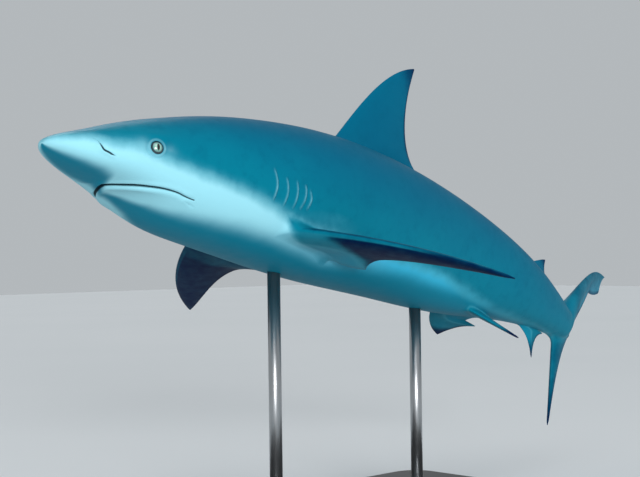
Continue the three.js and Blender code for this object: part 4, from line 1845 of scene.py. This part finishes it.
@dataclass(frozen=True)
class SkinFinish:
    """Painted shark skin: dark back, pale belly, dusky fins and fine denticles, all in a painted blue-green
    cast of the light, with painted shade on the underside, on the fins and in the creases, and painted
    highlights on the gill flaps.
    """

    # The blue-green of these colours is painted light: the blue-green cast of the light, laid over the skin's
    # own dark and pale tones.
    back: Paint = tint(4, 91, 121)
    flank: Paint = tint(6, 115, 138)
    mottled: Paint = tint(4, 84, 112)
    edge: Paint = tint(84, 176, 196)
    pale: Paint = tint(152, 216, 230)
    # painted bluish shade of the pale skin behind the gills
    bluish: Paint = tint(64, 190, 228)
    # painted shade: the blue-green that the pale underside turns to
    under: Paint = tint(14, 124, 150)
    # dusky tips and margins, and the painted shade on the fins and the tail
    dusky: Paint = tint(2, 17, 62)
    # greyish patches, and the painted highlights on the gill flaps
    greyish: Paint = tint(116, 180, 196)
    # painted shade in the creases of the mouth, nostrils and gills and inside the eye sockets
    crease_shade: Paint = tint(3, 30, 44)
    # blue-green tint of the reflections, for the same cast of the light
    sheen: Paint = tint(60, 180, 200)
    sheen_level: float = 0.06
    # millimetres over which dark turns to pale, and by which the patterns shift that border
    border: float = 15.0
    border_rise: float = 3.0
    cloud_shift: float = 16.0
    mottle_shift: float = 9.0
    # millimetres above the border over which the flank darkens to the back
    deepening: tuple[float, float] = (8.0, 170.0)
    deepening_clouds: float = 70.0
    # metres along the model over which the pale skin turns to a painted bluish shade
    bluish_from: tuple[float, float] = (-0.32, 0.06)
    # depth in metres and share of the denticles' relief
    denticle_relief: tuple[float, float] = (0.00022, 0.35)

    def material(self) -> bpy.types.Material:
        """Makes the material.

        Returns:
            The material.
        """
        graph = Graph("shark_skin_paint")
        above = graph.number("above_border") - self.border_rise
        clouds = graph.noise(9, 3, 0.55) - 0.5
        mottle = graph.noise(46, 4, 0.6)
        speckle = mottle - 0.5
        height = above + clouds * self.cloud_shift + speckle * self.mottle_shift
        deep = (above + clouds * self.deepening_clouds).rise(*self.deepening)
        upper = graph.mix(deep, self.flank, self.back)
        upper = graph.mix(mottle.rise(0.45, 0.75) * 0.25, upper, self.mottled)
        pale = graph.mix(graph.along().rise(*self.bluish_from), self.pale, self.bluish)
        # painted shade on the underside: the pale skin turns blue-green
        belly = graph.number("underside") + clouds * 0.3
        lower = graph.mix(belly.rise(0, 1), pale, self.under)
        rim = height.rise(-self.border, 0) * height.rise(self.border * 1.6, 0)
        dark = height.rise(-self.border, self.border)
        colour = graph.mix(rim * 0.3, graph.mix(dark, lower, upper), self.edge)
        # greyish patches about the eyes and painted highlights on the gill flaps
        blush_and_highlight = graph.number("blush_and_highlight") * (0.6 + speckle * 1.6)
        colour = graph.mix(blush_and_highlight * 0.75, colour, self.greyish)
        # dusky tips, and painted shade on the fins and the tail
        dusk_and_shade = (graph.number("dusk_and_shade") + speckle * 0.3).rise(0.05, 1.0)
        colour = graph.mix(dusk_and_shade * 0.98, colour, self.dusky)
        # painted shade in the creases
        crease_shade = graph.number("crease_shade").rise(1.1, -0.2)
        colour = graph.mix(crease_shade * 0.95, colour, self.crease_shade)
        denticles = graph.cells(620) * 0.6 + graph.noise(900, 2) * 0.4
        return graph.finish(
            Base_Color=colour,
            Roughness=0.5 + speckle * 0.18 + dusk_and_shade * 0.05,
            Normal=graph.bump(denticles, *self.denticle_relief),
            Specular_IOR_Level=self.sheen_level,
            Specular_Tint=self.sheen,
        )


@dataclass(frozen=True)
class EyeFinish:
    """Glass eye: slit pupil, pale greenish iris and dark rim, drawn on the gaze coordinates."""

    iris: Paint = tint(150, 196, 180)
    iris_rim: Paint = tint(92, 142, 138)
    pupil: Paint = tint(4, 8, 10)
    ring: Paint = tint(8, 46, 56)
    iris_radius: float = 7.9
    pupil_aside: float = 0.8
    pupil_half: tuple[float, float] = (2.3, 5.6)

    def material(self) -> bpy.types.Material:
        """Makes the material.

        Returns:
            The material.
        """
        graph = Graph("eye_glass")
        across, up = graph.number("gaze_across"), graph.number("gaze_up")
        reach = (across * across + up * up).power(0.5)
        streaks = graph.noise(300, 3, 0.6)
        iris = graph.mix((reach + (streaks - 0.5) * 3).rise(3.2, self.iris_radius), self.iris, self.iris_rim)
        aside, rise = (across - self.pupil_aside) / self.pupil_half[0], up / self.pupil_half[1]
        slit = (aside * aside + rise * rise).power(0.5)
        colour = graph.mix(slit.rise(1.18, 0.9), iris, self.pupil)
        colour = graph.mix(reach.rise(self.iris_radius - 0.4, self.iris_radius + 0.5), colour, self.ring)
        return graph.finish(Base_Color=colour, Roughness=0.12, Coat_Weight=1.0, Coat_Roughness=0.03)


@dataclass(frozen=True)
class SteelFinish:
    """Brushed steel of the rods and collars."""

    light: Paint = tint(196, 198, 200)
    dark: Paint = tint(150, 153, 156)

    def material(self) -> bpy.types.Material:
        """Makes the material.

        Returns:
            The material.
        """
        graph = Graph("brushed_steel")
        brushing = graph.noise(1, 4, 0.7, graph.stretched((900, 900, 26)))
        smudges = graph.noise(22, 3)
        colour = graph.mix(brushing, self.dark, self.light)
        rough = 0.24 + brushing * 0.14 + smudges * 0.08
        relief = graph.bump(brushing, 0.00005, 0.4)
        return graph.finish(Base_Color=colour, Metallic=1.0, Roughness=rough, Normal=relief)


@dataclass(frozen=True)
class BoardFinish:
    """Matt black stain on a wooden base board, with its grain just showing."""

    stain: Paint = tint(34, 35, 37)
    grain: Paint = tint(58, 57, 56)
    worn: Paint = tint(82, 80, 78)

    def material(self) -> bpy.types.Material:
        """Makes the material.

        Returns:
            The material.
        """
        graph = Graph("stained_board")
        place = graph.stretched((3.2, 46, 46))
        rings = graph.noise(1.6, 5, 0.62, place)
        pores = graph.noise(9, 3, 0.7, place)
        lines = rings.rise(0.42, 0.68) * 0.55 + pores.rise(0.55, 0.75) * 0.25
        colour = graph.mix(lines, self.stain, self.grain)
        edge = graph.number("edge_wear") * graph.noise(60, 4, 0.7).rise(0.45, 0.62)
        colour = graph.mix(edge * 0.7, colour, self.worn)
        rough = 0.5 + rings * 0.16 - pores * 0.06
        return graph.finish(Base_Color=colour, Roughness=rough, Normal=graph.bump(pores, 0.0003, 0.3))


@dataclass(frozen=True)
class FloorFinish:
    """Plain pale studio floor."""

    near: Paint = tint(222, 225, 227)
    far: Paint = tint(217, 221, 223)

    def material(self) -> bpy.types.Material:
        """Makes the material.

        Returns:
            The material.
        """
        graph = Graph("studio_floor")
        colour = graph.mix(graph.noise(0.7, 2), self.near, self.far)
        return graph.finish(Base_Color=colour, Roughness=0.85)


# ------------------------------------------------------------------ eyes and stand


@dataclass
class Eyeball:
    """Glass eye with a low cornea, set in its socket."""

    spine: Spine
    body: Body
    site: EyeSite
    side: float
    segments: int = 64
    rings: int = 48
    cornea: float = 0.7
    cornea_width: float = 7.0
    # what the gaze coordinates of the back half are shifted by, to keep the iris off it
    back_shift: float = 40.0

    def build(self) -> bpy.types.Object:
        """Makes the eyeball's object.

        Returns:
            The object, without a material.
        """
        name = "eyeball_left" if self.side < 0 else "eyeball_right"
        radius = self.site.ball_radius
        ball = bmesh.new()
        bmesh.ops.create_uvsphere(ball, u_segments=self.segments, v_segments=self.rings, radius=radius)
        centre, rearward, upward, outward = self.site.frame_on(self.body, self.side)
        centre = centre - outward * self.site.ball_depth
        gaze = np.array([vert.co[:] for vert in ball.verts])
        front = gaze[:, 2] > 0
        swell = self.cornea * bump(np.hypot(gaze[:, 0], gaze[:, 1]), 0, self.cornea_width) * front
        shape = gaze * (1 + swell / radius)[:, None]
        points = centre + shape[:, :1] * rearward + shape[:, 1:2] * upward + shape[:, 2:] * outward
        for vert, place in zip(ball.verts, self.spine.place(points)):
            vert.co = place
        bmesh.ops.recalc_face_normals(ball, faces=ball.faces[:])
        eye = to_scene(ball, name)
        keep_numbers(eye.data, "gaze_across", gaze[:, 0] + np.where(front, 0.0, self.back_shift))
        keep_numbers(eye.data, "gaze_up", gaze[:, 1])
        return eye


@dataclass
class Stand:
    """Flat base board, two short steel rods and the collars at their feet."""

    skin: bpy.types.Object
    length: float = 900.0
    width: float = 440.0
    height: float = 20.0
    corner: float = 60.0
    chamfer: float = 3.0
    rod_radius: float = 12.0
    rods: tuple[float, float] = (-175.0, 215.0)
    rod_sides: int = 64
    rod_inset: float = 0.3
    # radius and height of the corners of a collar's section
    collar: Plane = ((12.3, 0), (32, 0), (32, 4), (19, 12), (17, 14), (12.3, 14))
    collar_steps: int = 72
    collar_bevel: float = 0.8
    sharp_angle: float = 0.4

    @staticmethod
    def _bevel(shape: BMesh, edges: list[BMEdge], offset: float, segments: int) -> None:
        """Rounds edges.

        Args:
            shape: The shape.
            edges: Its edges.
            offset: Millimetres that each edge is cut back by.
            segments: Number of faces across the rounding.
        """
        bmesh.ops.bevel(
            shape, geom=edges, offset=offset * MM, segments=segments, profile=0.5, affect="EDGES", material=-1
        )

    def board(self) -> bpy.types.Object:
        """Makes the base board.

        Returns:
            The object, without a material.
        """
        board = bmesh.new()
        bmesh.ops.create_cube(board, size=1.0)
        size = Vector((self.length, self.width, self.height))
        bmesh.ops.scale(board, vec=size * MM, verts=board.verts)
        bmesh.ops.translate(board, vec=(0, 0, self.height / 2 * MM), verts=board.verts)
        upright = [edge for edge in board.edges if abs(edge.verts[0].co.z - edge.verts[1].co.z) > MM]
        self._bevel(board, upright, self.corner, 14)
        flat = [face for face in board.faces if abs(face.normal.z) > 0.9]
        self._bevel(board, list({edge for face in flat for edge in face.edges}), self.chamfer, 4)
        made = to_scene(board, "base_board")
        down = self.height - np.array([vert.co.z for vert in made.data.vertices]) / MM
        keep_numbers(made.data, "edge_wear", (down > 0.01) & (down < self.chamfer * 0.9))
        return made

    def rod(self, index: int) -> bpy.types.Object:
        """Makes a rod whose top follows the belly.

        Args:
            index: 0 for the front rod, 1 for the rear one.

        Returns:
            The object, without a material.
        """
        rod = bmesh.new()
        bmesh.ops.create_circle(rod, cap_ends=True, segments=self.rod_sides, radius=self.rod_radius * MM)
        bmesh.ops.translate(rod, vec=(self.rods[index] * MM, 0, self.height * MM), verts=rod.verts)
        _, top = draw_out(rod, rod.faces[:], keep=True)
        for vert in top:
            _, place, _, _ = self.skin.ray_cast(vert.co, Vector((0, 0, 1)))
            vert.co.z = place.z - self.rod_inset * MM
        bmesh.ops.recalc_face_normals(rod, faces=rod.faces[:])
        return to_scene(rod, ("rod_front", "rod_rear")[index])

    def foot(self, index: int) -> bpy.types.Object:
        """Makes the collar at a rod's foot.

        Args:
            index: 0 for the front collar, 1 for the rear one.

        Returns:
            The object, without a material.
        """
        collar = bmesh.new()
        verts = [collar.verts.new((x * MM, 0, z * MM)) for x, z in self.collar]
        edges = [collar.edges.new((a, b)) for a, b in zip(verts, verts[1:] + verts[:1])]
        turned = {"cent": (0, 0, 0), "axis": (0, 0, 1), "angle": FULL_TURN, "steps": self.collar_steps}
        bmesh.ops.spin(collar, geom=verts + edges, use_merge=True, **turned)
        bmesh.ops.remove_doubles(collar, verts=collar.verts, dist=1e-6)
        bmesh.ops.recalc_face_normals(collar, faces=collar.faces[:])
        joined = [edge for edge in collar.edges if len(edge.link_faces) == 2]
        sharp = [edge for edge in joined if edge.calc_face_angle() > self.sharp_angle]
        self._bevel(collar, sharp, self.collar_bevel, 2)
        bmesh.ops.translate(collar, vec=(self.rods[index] * MM, 0, self.height * MM), verts=collar.verts)
        return to_scene(collar, ("collar_front", "collar_rear")[index])


# ------------------------------------------------------------------ studio


@dataclass(frozen=True)
class Sun:
    """Soft light so far off that it lights the floor evenly."""

    name: str
    source: Place
    strength: float
    softness: float = 20.0


@dataclass
class Studio:
    """Plain pale floor and backdrop, soft lights and the camera."""

    floor_size: float = 30.0
    lens: float = 74.28
    camera_place: Place = (-1.8188, -1.7968, 0.5094)
    camera_turn: Place = (90.734, 0.772, -44.474)
    top_place: Place = (-0.8, -1.2, 3.2)
    top_target: Place = (-0.1, 0.0, 0.7)
    top_size: float = 2.0
    top_power: float = 16.0
    suns: tuple[Sun, ...] = (
        Sun("key", (-0.55, -1.0, 0.2), 2.35),
        Sun("far side", (0.5, 1.0, 0.8), 0.55),
    )
    backdrop: Paint = tint(222, 228, 232)
    backdrop_strength: float = 0.62

    def build(self) -> None:
        """Makes the floor, lights, backdrop and camera."""
        floor = bmesh.new()
        bmesh.ops.create_grid(floor, x_segments=8, y_segments=8, size=self.floor_size / 2)
        made = to_scene(floor, "studio_floor")
        made.data.materials.append(FloorFinish().material())
        top = bpy.data.lights.new("top", "AREA")
        top.size, top.energy = self.top_size, self.top_power
        self._hang(top, self.top_place, Vector(self.top_place) - Vector(self.top_target))
        for sun in self.suns:
            light = bpy.data.lights.new(sun.name, "SUN")
            light.angle, light.energy = math.radians(sun.softness), sun.strength
            self._hang(light, (0.0, 0.0, 0.0), Vector(sun.source))
        self._backdrop()
        self._camera()

    @staticmethod
    def _hang(light: bpy.types.Light, place: Place, source: Vector) -> None:
        """Hangs a light.

        Args:
            light: The light.
            place: Where it hangs.
            source: Direction that its light comes from.
        """
        hung = bpy.data.objects.new(light.name, light)
        hung.location = place
        hung.rotation_euler = source.to_track_quat("Z", "Y").to_euler()
        bpy.context.collection.objects.link(hung)

    def _backdrop(self) -> None:
        """Fills the space round the floor with an even pale light."""
        world = bpy.data.worlds.new("studio")
        world.use_nodes = True
        background = world.node_tree.nodes["Background"]
        background.inputs["Color"].default_value = self.backdrop
        background.inputs["Strength"].default_value = self.backdrop_strength
        bpy.context.scene.world = world
        bpy.context.scene.view_settings.view_transform = "Standard"

    def _camera(self) -> None:
        """Sets up the camera."""
        data = bpy.data.cameras.new("camera")
        data.lens = self.lens
        camera = bpy.data.objects.new("camera", data)
        camera.location = self.camera_place
        camera.rotation_euler = [math.radians(angle) for angle in self.camera_turn]
        bpy.context.collection.objects.link(camera)
        bpy.context.scene.camera = camera


# ------------------------------------------------------------------ the whole


class Slot(Enum):
    """Material slots of the record."""

    SKIN = "skin"
    EYE = "eye"
    BASE = "stand_base"
    STEEL = "stand_steel"


def settle(piece: bpy.types.Object, slot: Slot, material: bpy.types.Material, *nodes: str) -> None:
    """Dresses a finished piece, hangs it under the root and hides the CAD nodes that it replaces.

    Args:
        piece: The piece.
        slot: Not used.
        material: Its material.
        *nodes: CAD nodes that it replaces.
    """
    piece.data.materials.append(material)
    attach(piece, "root")
    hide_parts(*nodes)
    log.info("%s: %d vertices", piece.name, len(piece.data.vertices))


def main() -> None:
    """Builds the shark, its stand and the studio, in that order."""
    body, spine, site = Body(), Spine(), EyeSite()
    relief = Relief(body, site)
    fins = shark_fins(body)
    skin = SharkSkin(spine, body, relief, Markings(body, relief, fins), fins).build()
    flesh = [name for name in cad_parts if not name.startswith(("stand_", "eye_"))]
    settle(skin, Slot.SKIN, SkinFinish().material(), *flesh)
    glass = EyeFinish().material()
    for side, node in ((LEFT, "eye_left"), (RIGHT, "eye_right")):
        settle(Eyeball(spine, body, site, side).build(), Slot.EYE, glass, node)
    stand = Stand(skin)
    steel = SteelFinish().material()
    settle(stand.board(), Slot.BASE, BoardFinish().material(), "stand_base")
    for index, which in enumerate(("front", "rear")):
        settle(stand.rod(index), Slot.STEEL, steel, f"stand_rod_{which}")
        settle(stand.foot(index), Slot.STEEL, steel, f"stand_collar_{which}")
    Studio().build()


if __name__ == "__main__":
    logging.basicConfig(level=logging.INFO, format="%(name)s: %(message)s")
    main()
